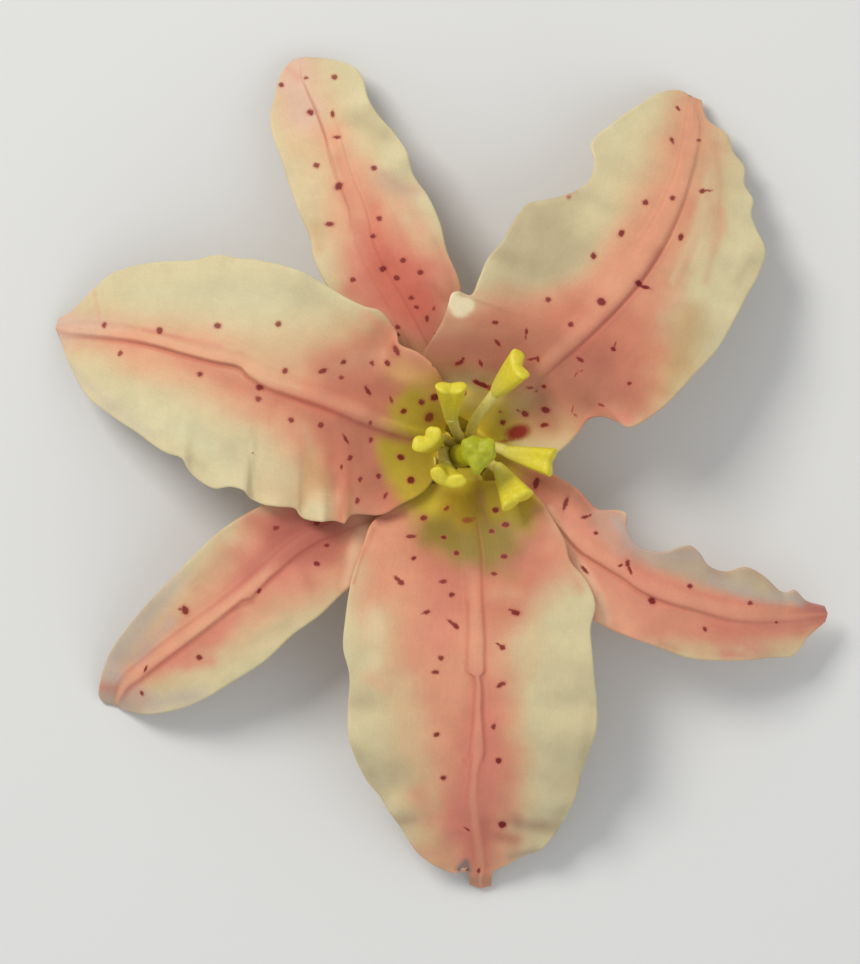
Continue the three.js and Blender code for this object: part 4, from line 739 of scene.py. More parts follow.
TEPALS = {
    "petal_left": PETAL_LEFT,
    "petal_upper_right": PETAL_UPPER_RIGHT,
    "petal_bottom": PETAL_BOTTOM,
    "sepal_top": SEPAL_TOP,
    "sepal_lower_right": SEPAL_LOWER_RIGHT,
    "sepal_lower_left": SEPAL_LOWER_LEFT,
}

# Receptacle as (radius, height), with faint lobes round its side
RECEPTACLE_TOP = 9.2
RECEPTACLE_PROFILE = [
    (0.3, 0), (3.05, 0), (3.2, 0.15), (3.2, 1.2), (3.45, 1.8), (4.1, 2.6), (4.45, 3.4), (4.5, 6.2),
    (4.4, 7), (4, 7.8), (3.2, 8.4), (2.2, 8.9), (1.2, 9.15), (0.3, 9.2),
]
RECEPTACLE_LOBES = 6
RECEPTACLE_LOBE_DEPTH = 0.02
RECEPTACLE_LOBED_FROM = 1
RECEPTACLE_LOBED_TO = 6

# Stamens: angle of the filament's foot, its route, the anther's narrow end, the middle of its
# broad end, the direction across that end, its half width and half depth, how soon it widens, and
# how far its broad end bends
STAMENS = [
    (75, [(1.6, 6, 13.6)], (5.2, 10.9, 18.6), (9.5, 15.8, 24.6), (-0.28, 0.94, -0.62), 3, 1.6, 0.6, -0.8),
    (110, [(-1.8, 4.2, 13)], (-2.7, 5.9, 16.4), (-2.7, 11.6, 23.4), (1, 0.02, 0), 2.5, 1.6, 0.8, -0.9),
    (145, [(-4.3, 2.8, 12.8)], (-5.4, 1.6, 16.6), (-7.1, 2.7, 24.2), (0.82, 0.57, 0), 2.5, 1.7, 0.6, 1.3),
    (180, [(-4.2, 0.5, 13)], (-3.7, -2, 17.4), (-3.3, -4.2, 24.4), (0.93, -0.36, 0), 2.9, 1.5, 0.6, 1.9),
    (20, [(4.6, 1.4, 13.4)], (7.2, 0.4, 17.6), (14.8, -1.4, 22.8), (0.2, 0.98, 0), 2.5, 1.4, 0.8, 0.4),
    (330, [(4.3, -1.7, 13.4)], (5.7, -2.2, 17.2), (9, -8, 23), (0.84, 0.55, 0), 3, 1.4, 0.9, 0.9),
]
FILAMENT_RADIUS = 0.95
FILAMENT_SWELL = 1.2
FILAMENT_WAIST = 0.22
FILAMENT_FOOT_RADIUS = 3.0
FILAMENT_SINK = 0.6
FILAMENT_REACH = 1.2
FILAMENT_RINGS = 44
FILAMENT_SIDES = 24
ANTHER_NARROW = 1.0
ANTHER_NOTCH = 0.55
ANTHER_WAIST = 0.24
ANTHER_WAIST_WIDTH = 0.45
ANTHER_BEND_LEVEL = 0.4
ANTHER_SQUARE = 0.4
ANTHER_SIDES = 64
ANTHER_FOOT = 0.35
ANTHER_CAP = 0.95
ANTHER_CAP_POWER = 0.8
ANTHER_FOOT_TURNS = np.linspace(0.3, 1.4, 6)
ANTHER_BODY_SHARES = np.linspace(0.02, 1, 30)
ANTHER_CAP_TURNS = np.linspace(0.1, 1.5, 16)
ANTHER_CAP_SHARE = 0.1

# Pistil as x, y, z, radius, lobe depth
PISTIL = [
    (-0.1, -0.1, 8.8, 1.8, 0), (-0.5, -0.2, 11, 2.1, 0), (-0.9, -0.3, 13.5, 2.2, 0),
    (-0.8, -0.3, 17, 2, 0), (-0.1, -0.1, 21, 1.8, 0.05), (1.1, 0.2, 24.2, 1.8, 0.1),
    (1.8, 0.3, 26, 2.6, 0.16), (2.1, 0.2, 27.2, 3.1, 0.15), (2.1, 0.2, 28.1, 2.5, 0.18),
    (2.1, 0.2, 28.5, 1.4, 0.18),
]
STIGMA_LOBES = 3
STIGMA_TURN = 0.37
FURROW_DEPTH = 0.7
FURROW_FROM = 25.5
FURROW_FADE = 2.5
CRUMPLE_FROM = 22
CRUMPLE_FADE = 4
CRUMPLE_LIFT = 0.5
PISTIL_SIDES = 96
PISTIL_RINGS = 90


def linear(colour):
    """An sRGB colour of 0 to 255 as linear light."""
    share = np.asarray(colour, float) / 255
    return np.where(share <= 0.04045, share / 12.92, ((share + 0.055) / 1.055) ** 2.4)


def rgba(colour):
    """An sRGB colour of 0 to 255 as a shader takes it."""
    return (*linear(colour), 1.0)


def unit(rows):
    """The vectors, each made 1 long."""
    return rows / np.maximum(np.linalg.norm(rows, axis=-1, keepdims=True), 1e-12)


def hump(x):
    """A round hump of height 1 that ends at x = -1 and x = 1."""
    return np.where(np.abs(x) < 1, (1 - x * x) ** 2, 0)


def smooth(x):
    """Rises softly from 0 at x = 0 to 1 at x = 1."""
    x = np.clip(x, 0, 1)
    return x * x * (3 - 2 * x)


def turns(sides):
    """Angles once round, one for each side."""
    return np.arange(sides) / sides * 2 * math.pi


def uneven(points, layers, seed=0):
    """Soft unevenness at points in millimetres, the sum of its layers of noise."""
    total = np.zeros(len(points))
    for depth, scale, shift in layers:
        offset = Vector((seed + shift, 0, 0))
        total += depth * np.array([noise.noise(Vector(p) * scale + offset) for p in points])
    return total


# Curves
def curve_points(points):
    """A centripetal Catmull-Rom curve through the points, with its length so far."""
    p = np.array([(*q, 0)[:3] for q in points], float)
    p = np.vstack([2 * p[0] - p[1], p, 2 * p[-1] - p[-2]])
    at = np.linspace(0, len(points) - 1, CURVE_STEPS + 1)
    i = np.minimum(at.astype(int), len(points) - 2)
    w = (at - i)[:, None]
    p0, p1, p2, p3 = p[i], p[i + 1], p[i + 2], p[i + 3]
    d0, d1, d2 = (np.sqrt(np.linalg.norm(step, axis=1))[:, None] for step in (p1 - p0, p2 - p1, p3 - p2))
    m1 = ((p1 - p0) / d0 - (p2 - p0) / (d0 + d1) + (p2 - p1) / d1) * d1
    m2 = ((p2 - p1) / d1 - (p3 - p1) / (d1 + d2) + (p3 - p2) / d2) * d1
    line = p1 + m1 * w + (3 * (p2 - p1) - 2 * m1 - m2) * w**2 + (2 * (p1 - p2) + m1 + m2) * w**3
    length = np.concatenate([[0], np.cumsum(np.linalg.norm(np.diff(line, axis=0), axis=1))])
    return line, length


def along_curve(points, shares):
    """Points on the curve at the given shares of its length."""
    line, length = curve_points(points)
    at = np.asarray(shares) * length[-1]
    return np.stack([np.interp(at, length, line[:, k]) for k in range(3)], axis=-1)


def rise_at(profile, r):
    """Height of the bowl at a distance from the axis."""
    xs, ys = (np.array(c, float) for c in zip(*profile))
    r = np.clip(r, xs[0], xs[-1])
    i = np.clip(np.searchsorted(xs, r, side="left") - 1, 0, len(xs) - 2)
    before = np.maximum(np.arange(len(xs)) - 1, 0)
    after = np.minimum(np.arange(len(xs)) + 1, len(xs) - 1)
    slope = (ys[after] - ys[before]) / (xs[after] - xs[before])
    span = xs[i + 1] - xs[i]
    t = (r - xs[i]) / span
    return (
        ys[i] * (2 * t**3 - 3 * t**2 + 1)
        + ys[i + 1] * (3 * t**2 - 2 * t**3)
        + slope[i] * span * (t**3 - 2 * t**2 + t)
        + slope[i + 1] * span * (t**3 - t**2)
    )


# Meshes
def add_mesh(name, points, faces, attributes=()):
    """A smooth mesh object from points in millimetres, with its float or colour attributes."""
    mesh = bpy.data.meshes.new(name)
    mesh.from_pydata((np.asarray(points) * MM).tolist(), [], faces)
    for key, values in attributes:
        kind, field = ("FLOAT", "value") if values.ndim == 1 else ("FLOAT_COLOR", "color")
        layer = mesh.attributes.new(key, kind, "POINT")
        layer.data.foreach_set(field, values.astype(np.float32).ravel())
    mesh.polygons.foreach_set("use_smooth", [True] * len(mesh.polygons))
    piece = bpy.data.objects.new(name, mesh)
    bpy.context.scene.collection.objects.link(piece)
    return piece


def grid_faces(rows, columns, start, turned):
    """Quads over a grid of points, turned over where the face looks down."""
    faces = []
    for row in range(rows - 1):
        for column in range(columns - 1):
            a = start + row * columns + column
            quad = (a, a + columns, a + columns + 1, a + 1)
            faces.append(quad[::-1] if turned else quad)
    return faces


def closed_blade(name, points, shape, attributes):
    """A blade from the points of its inner face and then its under face, joined by the rim."""
    rows, columns = shape
    count = rows * columns
    faces = grid_faces(rows, columns, 0, False) + grid_faces(rows, columns, count, True)
    rim = list(range(columns - 1))
    rim += [r * columns + columns - 1 for r in range(rows - 1)]
    rim += [(rows - 1) * columns + c for c in range(columns - 1, 0, -1)]
    rim += [r * columns for r in range(rows - 1, 0, -1)]
    faces += [(a, b, count + b, count + a) for a, b in zip(rim, rim[1:] + rim[:1])]
    return add_mesh(name, points, faces, attributes)


def loft_mesh(name, rings, shares):
    """A closed mesh through rings of equal length, each ring with its share of the way along."""
    sides = len(rings[0])
    points = np.concatenate([*rings, [np.mean(rings[0], axis=0)], [np.mean(rings[-1], axis=0)]])
    foot, tip = len(points) - 2, len(points) - 1
    last = (len(rings) - 1) * sides
    faces = []
    for i in range(sides):
        after = (i + 1) % sides
        for k in range(0, last, sides):
            faces.append((k + i, k + after, k + sides + after, k + sides + i))
        faces.append((foot, after, i))
        faces.append((tip, last + i, last + after))
    along = np.concatenate([np.repeat(shares, sides), [shares[0], shares[-1]]])
    return add_mesh(name, points, faces, [("share", along)])


# Airbrushed colour, with painted shade and painted light
def stroke_distance(points, line):
    """Distance outside the half-strength line of a stroke or a dab, below zero inside it."""
    nearest = np.full(len(points), np.inf)
    for a, b in zip(line, line[1:] or line):
        a, b = np.array(a, float), np.array(b, float)
        along = b[:2] - a[:2]
        t = np.clip(((points[:, :2] - a[:2]) @ along) / max(along @ along, 1e-9), 0, 1)
        gap = np.linalg.norm(points[:, :2] - a[:2] - t[:, None] * along, axis=1)
        nearest = np.minimum(nearest, gap - a[2] - t * (b[2] - a[2]))
    return nearest


def paint_colour(points, strokes, seed):
    """The airbrushed colour at points on a blade, painted shade and painted light with it, as linear
    light.
    """
    wander = uneven(points * (1, 1, 0), STROKE_LAYERS, seed)
    colour = np.tile(linear(CREAM), (len(points), 1))
    for tint, line, soft, strength in strokes:
        outside = stroke_distance(points, line) + wander * min(1, soft / FULL_WANDER_SOFTNESS)
        amount = strength * smooth(0.5 - outside / soft)
        colour += (linear(tint) - colour) * amount[:, None]
    return colour


def blade_colour(points, base, field, spec, seed):
    """The painted colour, with a painted highlight on the ridge's crest and painted shade in the creases
    beside it on the inner face.
    """
    colour = paint_colour(points, spec["paint"], seed)
    inner = colour[: len(points) // 2]
    under = colour[len(points) // 2 :]
    out = np.linalg.norm(base[..., :2], axis=-1)
    across, width = np.abs(field["across"]), field["width"]
    (crease_width, crease_shade_strength), (highlight_strength, highlight_from) = spec["crease"], spec["crest"]
    # Painted highlight along the top of the ridge
    crest = highlight_strength * smooth((out - highlight_from) / CREST_FADE) * hump(across / width)
    # Painted shade in the groove beside the ridge
    crease = crease_shade_strength * smooth((out - CREASE_FROM) / CREASE_FADE) * field["crease"]
    crease = crease * hump((across - width) / crease_width)
    for tint, amount in ((CREST_HIGHLIGHT, crest), (CREASE_SHADE, crease)):
        inner += (linear(tint) - inner) * amount.reshape(-1, 1)
    under[:] = (1 - UNDER_CREAM) * under + UNDER_CREAM * linear(CREAM)
    return colour


# Petals and sepals
def column_distance(k, reach, zone, edge):
    """Distance from the rib of its k-th column: over the ridge, then the blade, then the edge."""
    if k <= RIDGE_COLUMNS:
        return zone * k / RIDGE_COLUMNS
    if k <= RIDGE_COLUMNS + BLADE_COLUMNS:
        return zone + (reach - edge - zone) * (k - RIDGE_COLUMNS) / BLADE_COLUMNS
    turn = (k - RIDGE_COLUMNS - BLADE_COLUMNS) / EDGE_COLUMNS * math.pi / 2
    return reach - edge * (1 - math.sin(turn))


def tepal_columns(spec, rib, margins, v):
    """Plan, height and relief of the inner face, by rows from throat to tip."""
    stations = np.array(spec["ridge"], float).T
    left, right, height, *creases = (np.interp(v, stations[0], row) for row in stations[1:])
    half = RIDGE_COLUMNS + BLADE_COLUMNS + EDGE_COLUMNS
    droop_from, droop_depth = spec["droop"]
    droop = droop_depth * np.maximum(0, (v - droop_from) / (1 - droop_from)) ** 2
    height = height * (1 + uneven(rib, RIDGE_LAYERS))
    columns = []
    for column in range(-half, half + 1):
        side = -1 if column < 0 else 1
        width, crease = (right, creases[1]) if side < 0 else (left, creases[0])
        margin = margins[side]
        reach = np.linalg.norm(margin[:, :2] - rib[:, :2], axis=1)
        room = np.minimum(1, reach / RIDGE_ROOM)
        ridge_half = width * room
        ridge_zone = np.minimum(RIDGE_ZONE * width * room, reach / 2)
        d = column_distance(abs(column), reach, ridge_zone, np.minimum(EDGE_ROUND, reach / 4))
        u = d / reach
        x, y = (rib[:, axis] + (margin[:, axis] - rib[:, axis]) * u for axis in (0, 1))
        lift = margin[:, 2] * u**LIFT_POWER - droop
        slope = np.minimum(d / (ridge_half + RIDGE_SOFT + RIDGE_SLOPE * (1 - crease)), 1)
        crest = height * (1 - slope ** (2 + 2 * crease)) ** 2
        dip = GROOVE_DEPTH * crease * hump((d - ridge_half) / (GROOVE_WIDTH * spec["crease"][0]))
        columns.append({
            "x": x,
            "y": y,
            "bowl": rise_at(spec["kind"]["rise"], np.hypot(x, y)) + lift,
            "relief": room * (crest - dip),
            "share": u,
            "across": side * d,
            "inset": reach - d,
            "width": ridge_half,
            "crease": crease,
        })
    return {key: np.stack([c[key] for c in columns], axis=1) for key in columns[0]}


def add_claw(base, height):
    """Carries the inner end of a blade on to the receptacle's crown."""
    steps = np.linspace(1, 0, CLAW_ROWS, endpoint=False)[:, None]
    first = base[0]
    claw = np.empty((CLAW_ROWS, len(first), 3))
    claw[..., :2] = first[:, :2] * (1 - CLAW_REACH * steps)[..., None]
    claw[..., 2] = first[:, 2] + (height - first[:, 2]) * smooth(steps)
    return np.concatenate([claw, base])


def blade_base(field, kind, v, seed):
    """The inner face before its relief, from the claw's foot to the tip."""
    base = np.stack([field["x"], field["y"], field["bowl"]], axis=-1)
    flat = base.reshape(-1, 3)
    dents = uneven(flat, DENT_LAYERS, seed).reshape(base.shape[:2])
    waves = uneven(flat, WAVE_LAYERS, seed).reshape(base.shape[:2]) * field["share"] ** 2
    dents = HAND_DENTS * dents + MARGIN_WAVES * waves
    base[..., 2] += dents * smooth(v / DENTS_START)[:, None]
    return add_claw(base, kind["claw_height"])


def blade_faces(base, field, to_tip):
    """The inner and the under face, a blade's thickness apart, drawn together at a rounded rim."""
    normal = unit(np.cross(np.gradient(base, axis=0), np.gradient(base, axis=1)))
    thickness = RIB_THICKNESS + (MARGIN_THICKNESS - RIB_THICKNESS) * field["share"]
    edge = np.clip(np.minimum(field["inset"], to_tip[:, None]) / EDGE_ROUND, 0, 1)
    fullness = np.maximum(np.sqrt(1 - (1 - edge) ** 2), RIM_FULLNESS)
    half = normal * (thickness * fullness / 2)[..., None]
    middle = base - normal * thickness[..., None] / 2
    top, under = middle + half, middle - half
    top[..., 2] += field["relief"] * fullness
    under[..., 2] = np.maximum(under[..., 2], 0)
    top[..., 2] = np.maximum(top[..., 2], under[..., 2] + LEAST_THICKNESS)
    return np.concatenate([top.reshape(-1, 3), under.reshape(-1, 3)])


def tepal_mesh(name, spec, seed):
    """One petal or sepal, with the attributes that its material reads."""
    v = np.linspace(0, 1, spec["kind"]["rows"] + 1)
    rib = along_curve(spec["rib"], v)
    margins = {-1: along_curve(spec["right"], v), 1: along_curve(spec["left"], v)}
    field = tepal_columns(spec, rib, margins, v)
    base = blade_base(field, spec["kind"], v, seed)
    for key, value in field.items():
        field[key] = np.concatenate([np.repeat(value[:1], CLAW_ROWS, axis=0), value])
    field["relief"][:CLAW_ROWS] = 0
    rib_length = np.linalg.norm(np.diff(rib[:, :2], axis=0), axis=1).sum()
    run = np.concatenate([np.zeros(CLAW_ROWS), v]) * rib_length
    points = blade_faces(base, field, rib_length - run)
    colour = blade_colour(points, base, field, spec, seed)
    rows, columns = base.shape[:2]
    attributes = [
        ("paint", np.concatenate([colour, np.ones((len(points), 1))], axis=1)),
        ("upper", np.repeat((1.0, 0.0), rows * columns)),
        ("vein", np.tile((np.sign(field["across"]) * field["share"]).reshape(-1), 2)),
        ("run", np.tile(np.repeat(run, columns), 2)),
    ]
    return closed_blade(name, points, (rows, columns), attributes)


# Stamens and pistil
def ring(centre, side, other, radius, sides):
    """A ring of points round a centre, in the plane of two directions."""
    turn = turns(sides)
    return centre + (radius * np.cos(turn))[:, None] * side + (radius * np.sin(turn))[:, None] * other


def filament_mesh(name, stamen):
    """A stalk from the receptacle's crown into the narrow end of its anther."""
    foot_turn, route, base, head = stamen[:4]
    turn = math.radians(foot_turn)
    foot = np.array((math.cos(turn), math.sin(turn), 0)) * FILAMENT_FOOT_RADIUS
    foot[2] = RECEPTACLE_TOP - FILAMENT_SINK
    to_head = unit(np.subtract(head, base))
    end = np.array(base) + FILAMENT_REACH * to_head
    shares = np.linspace(0, 1, FILAMENT_RINGS)
    line = along_curve([tuple(foot), *route, tuple(end)], shares)
    rings = []
    for t, centre in zip(shares, line):
        way = unit((1 - t) * np.array((0, 0, 1.0)) + t * to_head)
        side = unit(np.array((1.0, 0, 0)) - way[0] * way)
        radius = FILAMENT_RADIUS * (FILAMENT_SWELL - FILAMENT_WAIST * math.sin(math.pi * t))
        rings.append(ring(centre, side, np.cross(way, side), radius, FILAMENT_SIDES))
    return loft_mesh(name, rings, shares)


def bean(turn, half_width, half_depth, power):
    """A rounded-square ring, the section of an anther."""
    c, s = np.cos(turn), np.sin(turn)
    return half_width * np.sign(c) * np.abs(c) ** power, half_depth * np.sign(s) * np.abs(s) ** power


def anther_mesh(name, stamen):
    """A flattened trumpet that ends in two round lobes with a notch between them."""
    base, head, across, half_width, half_depth, flare, most_bend = stamen[2:]
    base, head, across = (np.array(p, float) for p in (base, head, across))
    way = unit(head - base)
    length = np.linalg.norm(head - base)
    across = unit(across - (way @ across) * way)
    outward = np.cross(way, across)
    turn = turns(ANTHER_SIDES)
    foot = [(0.0, -ANTHER_FOOT * math.cos(a), math.sin(a)) for a in ANTHER_FOOT_TURNS]
    body = [(t, 0.0, 1.0) for t in ANTHER_BODY_SHARES]
    cap = [(1.0, ANTHER_CAP * math.sin(a), math.cos(a) ** ANTHER_CAP_POWER) for a in ANTHER_CAP_TURNS]
    rings, shares = [], []
    for t, rise, scale in foot + body + cap:
        spread = t**flare
        width = ANTHER_NARROW + (half_width - ANTHER_NARROW) * spread
        depth = ANTHER_NARROW + (half_depth - ANTHER_NARROW) * spread
        x, y = bean(turn, width * scale, depth * scale, 1 - ANTHER_SQUARE * spread)
        waist = 1 - ANTHER_WAIST * spread * np.exp(-((x / (ANTHER_WAIST_WIDTH * half_width)) ** 2))
        bend = most_bend * spread * ((x / half_width) ** 2 - ANTHER_BEND_LEVEL)
        lean = np.arctan(2 * most_bend * spread * x / half_width**2)
        ahead = ANTHER_NOTCH * t**4 * (2 * np.abs(x) / half_width - 1)
        centre = base + way * (length * t + rise) + ahead[:, None] * way
        x, y = x - y * waist * np.sin(lean), y * waist * np.cos(lean) + bend
        rings.append(centre + x[:, None] * across + y[:, None] * outward)
        shares.append(t * (1 - ANTHER_CAP_SHARE) + rise * ANTHER_CAP_SHARE)
    return loft_mesh(name, rings, np.array(shares))


def pistil_mesh():
    """Ovary, style and a crumpled three-lobed stigma."""
    turn = turns(PISTIL_SIDES)
    stations = np.array(PISTIL, float)
    rings = []
    for s in np.linspace(0, len(PISTIL) - 1, PISTIL_RINGS):
        x, y, z, radius, lobe = (np.interp(s, np.arange(len(PISTIL)), row) for row in stations.T)
        wave = np.cos(STIGMA_LOBES * (turn - STIGMA_TURN))
        r = radius * (1 + lobe * wave)
        heights = z - FURROW_DEPTH * smooth((z - FURROW_FROM) / FURROW_FADE) * (1 - wave) / 2
        points = np.stack([x + r * np.cos(turn), y + r * np.sin(turn), heights], axis=1)
        crumple = uneven(points, CRUMPLE_LAYERS) * smooth((z - CRUMPLE_FROM) / CRUMPLE_FADE)
        points[:, :2] += (points[:, :2] - (x, y)) * crumple[:, None]
        points[:, 2] += CRUMPLE_LIFT * crumple
        rings.append(points)
    heights = np.array([r[:, 2].mean() for r in rings])
    return loft_mesh("bloom_pistil", rings, (heights - heights[0]) / np.ptp(heights))


def receptacle_mesh():
    """The knob under the bloom, domed on top, where petals and stamens grow out of it."""
    lobes = RECEPTACLE_LOBE_DEPTH * np.cos(RECEPTACLE_LOBES * turns(PISTIL_SIDES))
    side, other = np.array(((1, 0, 0), (0, 1, 0)))
    rings = []
    for r, z in RECEPTACLE_PROFILE:
        radius = r * (1 + (lobes if RECEPTACLE_LOBED_FROM < z < RECEPTACLE_LOBED_TO else 0))
        rings.append(ring(np.array((0, 0, z)), side, other, radius, PISTIL_SIDES))
    heights = np.array([z for _, z in RECEPTACLE_PROFILE])
    return loft_mesh("bloom_receptacle", rings, heights / RECEPTACLE_TOP)


# Materials
class Shader:
    """A material whose nodes are added and linked by short calls."""

    def __init__(self, name):
        self.material = bpy.data.materials.new(name)
        self.material.use_nodes = True
        self.tree = self.material.node_tree
        self.surface = self.tree.nodes["Principled BSDF"]

    def node(self, kind, inputs=(), **settings):
        made = self.tree.nodes.new(kind)
        for key, value in settings.items():
            setattr(made, key, value)
        for key, value in dict(inputs).items():
            self.set(made.inputs[key], value)
        return made

    def set(self, socket, value):
        if isinstance(value, bpy.types.NodeSocket):
            self.tree.links.new(value, socket)
        else:
            socket.default_value = value

    def math(self, operation, *values):
        return self.node("ShaderNodeMath", enumerate(values), operation=operation).outputs[0]

    def vector(self, operation, *values):
        return self.node("ShaderNodeVectorMath", enumerate(values), operation=operation).outputs[0]

    def scaled(self, vector, factor):
        inputs = {0: vector, "Scale": factor}
        return self.node("ShaderNodeVectorMath", inputs, operation="SCALE").outputs[0]

    def span(self, value, low, high, to_low, to_high):
        """Carries the value softly from one range to another."""
        inputs = {"Value": value, "From Min": low, "From Max": high, "To Min": to_low, "To Max": to_high}
        return self.node("ShaderNodeMapRange", inputs, interpolation_type="SMOOTHSTEP").outputs["Result"]

    def spread(self, value, low, high):
        """Spreads a noise over the range from low to high."""
        return self.span(value, *NOISE_RANGE, low, high)

    def mix(self, share, a, b, blend="MIX"):
        made = self.node("ShaderNodeMix", data_type="RGBA", blend_type=blend)
        self.set(made.inputs["Factor"], share)
        self.set(made.inputs["A"], a)
        self.set(made.inputs["B"], b)
        return made.outputs["Result"]

    def shaded(self, colour, shade):
        """The colour, darker or lighter by a share."""
        tone = self.node("ShaderNodeCombineColor", {0: shade, 1: shade, 2: shade}).outputs[0]
        return self.mix(1.0, colour, tone, "MULTIPLY")

    def attribute(self, name, output="Fac"):
        return self.node("ShaderNodeAttribute", attribute_name=name).outputs[output]

    def place(self):
        """Place on the object in millimetres."""
        return self.scaled(self.node("ShaderNodeTexCoord").outputs["Object"], 1 / MM)

    def noise(self, vector, scale, detail, rough, output=0):
        inputs = {"Vector": vector, "Scale": scale, "Detail": detail, "Roughness": rough}
        return self.node("ShaderNodeTexNoise", inputs).outputs[output]

    def bump(self, height, strength, distance):
        inputs = {"Height": height, "Strength": strength, "Distance": distance}
        return self.node("ShaderNodeBump", inputs).outputs[0]

    def finish(self, **values):
        for key, value in values.items():
            self.set(self.surface.inputs[key.replace("_", " ")], value)
        return self.material


def spot_distance(shader, place, x, y, half_length, half_width, angle):
    """Distance from a spot's middle, 1 at its rim."""
    inputs = {
        "Vector": place,
        "Location": (x, y, 0),
        "Rotation": (0, 0, math.radians(angle)),
        "Scale": (half_length, half_width, SPOT_REACH_THROUGH),
    }
    local = shader.node("ShaderNodeMapping", inputs, vector_type="TEXTURE").outputs[0]
    return shader.node("ShaderNodeVectorMath", {0: local}, operation="LENGTH").outputs["Value"]


def spot_masks(shader, place, spots, soft):
    """How strongly the spots colour a place, and how far it is from the nearest."""
    mask, nearest = 0.0, NO_SPOT_NEAR
    for *shape, strength in spots:
        distance = spot_distance(shader, place, *shape)
        here = shader.span(distance, 1 - soft, 1 + soft, strength, 0.0)
        mask = shader.math("MAXIMUM", here, mask)
        nearest = shader.math("MINIMUM", distance, nearest)
    return mask, nearest


def blade_relief(shader, upper, grain):
    """Fine parallel veins and a brushed grain, as a height, and the finest veins alone."""
    vein, run = shader.attribute("vein"), shader.attribute("run")
    height = shader.math("MULTIPLY", grain, GRAIN_DEPTH)
    for across, along, depth in VEINS:
        x, y = shader.math("MULTIPLY", vein, across), shader.math("MULTIPLY", run, along)
        lengthwise = shader.node("ShaderNodeCombineXYZ", enumerate((x, y, upper))).outputs[0]
        streaks = shader.noise(lengthwise, *VEIN_NOISE)
        height = shader.math("MULTIPLY_ADD", streaks, depth, height)
    return height, streaks


def shaken_place(shader, place):
    """The place, moved a little this way and that, so that a spot's rim is uneven."""
    wobble = shader.vector("SUBTRACT", shader.noise(place, *WOBBLE_NOISE, "Color"), (0.5, 0.5, 0.5))
    return shader.vector("ADD", place, shader.scaled(wobble, SPOT_WOBBLE))


def spotted(shader, colour, place, spec, upper):
    """Lays the smears, the spots' halos and the spots over the colour of the inner face."""
    if spec["smears"]:
        smear, _ = spot_masks(shader, place, spec["smears"], SMEAR_SOFTNESS)
        colour = shader.mix(shader.math("MULTIPLY", smear, upper), colour, rgba(SPOT_RED))
    spots, nearest = spot_masks(shader, place, spec["spots"], SPOT_SOFTNESS)
    halo = shader.span(nearest, *HALO_SPAN, HALO_STRENGTH, 0.0)
    colour = shader.mix(shader.math("MULTIPLY", halo, upper), colour, rgba(HALO))
    return shader.mix(shader.math("MULTIPLY", spots, upper), colour, rgba(SPOT))


def tepal_material(name, spec):
    """Airbrushed paste with painted shade and painted light, veins, a grain and spots."""
    shader = Shader(name)
    place = shader.place()
    upper = shader.attribute("upper")
    mottle = shader.noise(place, *MOTTLE_NOISE)
    grain = shader.noise(place, *GRAIN_NOISE)
    height, streaks = blade_relief(shader, upper, grain)
    veined = shader.spread(streaks, *VEIN_SHADES)
    shade = shader.math("MULTIPLY", veined, shader.spread(mottle, *MOTTLE_SHADES))
    shade = shader.math("MULTIPLY", shade, shader.spread(grain, *GRAIN_SHADES))
    colour = shader.shaded(shader.attribute("paint", "Color"), shade)
    return shader.finish(
        Base_Color=spotted(shader, colour, shaken_place(shader, place), spec, upper),
        Roughness=shader.spread(grain, *BLADE_ROUGHNESS),
        Normal=shader.bump(height, *BLADE_BUMP),
        **BLADE_LOOK,
    )


def paste_material(name, tones, rough):
    """Coloured paste that runs through its tones along the piece."""
    shader = Shader(name)
    place = shader.place()
    grain = shader.noise(place, *PASTE_NOISE)
    fine = shader.noise(place, *PASTE_FINE_NOISE)
    drift = shader.spread(grain, -PASTE_TONE_DRIFT, PASTE_TONE_DRIFT)
    share = shader.math("ADD", shader.attribute("share"), drift)
    colour = rgba(tones[0][1])
    for (low, _), (high, tint) in zip(tones, tones[1:]):
        colour = shader.mix(shader.span(share, low, high, 0.0, 1.0), colour, rgba(tint))
    height = shader.math("MULTIPLY", fine, PASTE_FINE_DEPTH)
    height = shader.math("MULTIPLY_ADD", grain, PASTE_GRAIN_DEPTH, height)
    return shader.finish(
        Base_Color=shader.shaded(colour, shader.spread(grain, *PASTE_SHADES)),
        Roughness=shader.spread(fine, *(rough + step for step in PASTE_ROUGHNESS_SPREAD)),
        Normal=shader.bump(height, *PASTE_BUMP),
        **PASTE_LOOK,
    )


def dress(piece, node, material):
    """Gives a piece its material, hangs it on the root body and hides the imported node that it replaces.
    """
    piece.data.materials.append(material)
    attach(piece, "root")
    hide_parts(node)


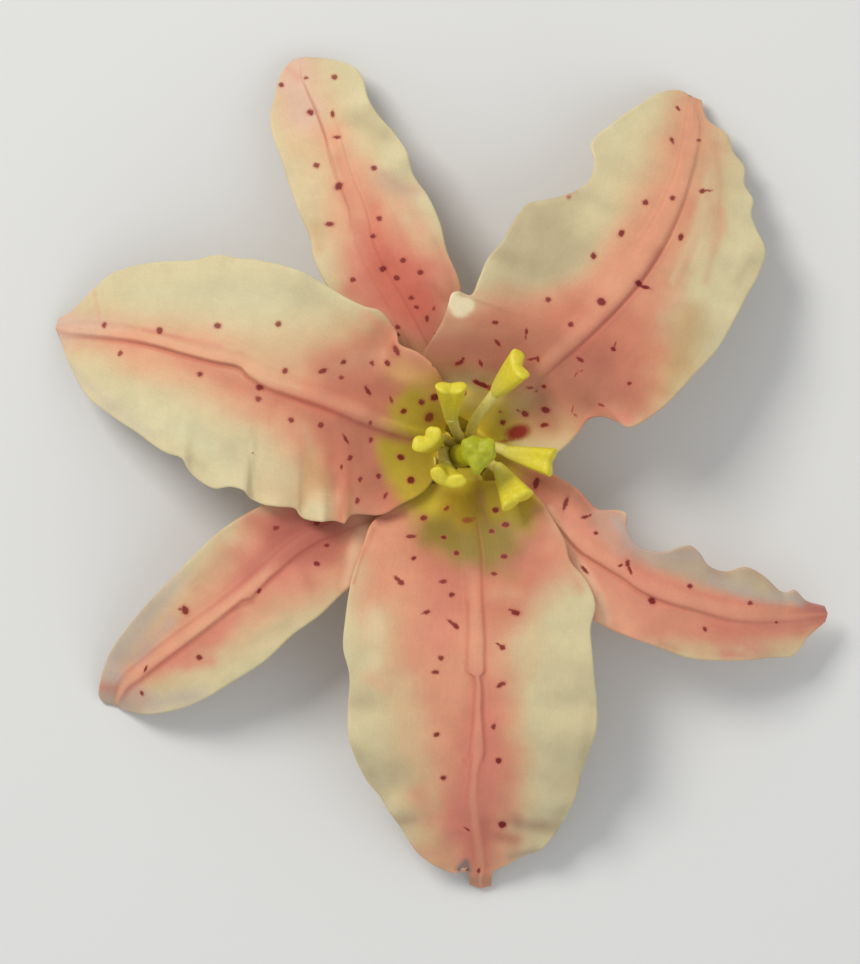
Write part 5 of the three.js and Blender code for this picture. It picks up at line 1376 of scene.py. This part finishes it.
# Stage
def add_floor():
    corners = np.array([(-1, -1, 0), (1, -1, 0), (1, 1, 0), (-1, 1, 0)])
    floor = add_mesh("floor", corners * FLOOR_HALF_METRES / MM, [(0, 1, 2, 3)])
    paint = Shader("floor_paint").finish(Base_Color=rgba(FLOOR_COLOUR), **FLOOR_LOOK)
    floor.data.materials.append(paint)


def add_light(name, place, size, power, colour):
    """An area light that faces the origin."""
    lamp = bpy.data.lights.new(name, "AREA")
    lamp.size = size
    lamp.energy = power
    lamp.color = colour
    light = bpy.data.objects.new(name, lamp)
    light.location = place
    light.rotation_euler = (-Vector(place)).to_track_quat("-Z", "Y").to_euler()
    bpy.context.scene.collection.objects.link(light)


def add_sky():
    world = bpy.data.worlds.new("studio")
    world.use_nodes = True
    background = world.node_tree.nodes["Background"].inputs
    background["Color"].default_value = (*SKY, 1)
    background["Strength"].default_value = SKY_STRENGTH
    bpy.context.scene.world = world


def add_camera():
    data = bpy.data.cameras.new("camera")
    data.lens = LENS
    data.sensor_width = SENSOR
    data.clip_end = CLIP_END_METRES
    camera = bpy.data.objects.new("camera", data)
    x, y, z = VIEW_CENTRE
    camera.location = (x * MM, y * MM, (z + VIEW_HEIGHT * LENS / SENSOR) * MM)
    bpy.context.scene.collection.objects.link(camera)
    bpy.context.scene.camera = camera


def main():
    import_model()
    bpy.context.scene.view_settings.view_transform = "Standard"
    add_camera()
    add_floor()
    for light in LIGHTS:
        add_light(*light)
    add_sky()
    for seed, (name, spec) in enumerate(TEPALS.items()):
        piece = tepal_mesh("bloom_" + name, spec, seed)
        dress(piece, name, tepal_material(name, spec))
    looks = {name: paste_material(name, *paste) for name, paste in PASTES.items()}
    for i, stamen in enumerate(STAMENS, 1):
        dress(filament_mesh(f"bloom_filament_{i}", stamen), f"filament_{i}", looks["filament"])
        dress(anther_mesh(f"bloom_anther_{i}", stamen), f"anther_{i}", looks["anther"])
    dress(pistil_mesh(), "pistil", looks["pistil"])
    dress(receptacle_mesh(), "receptacle", looks["receptacle"])


main()
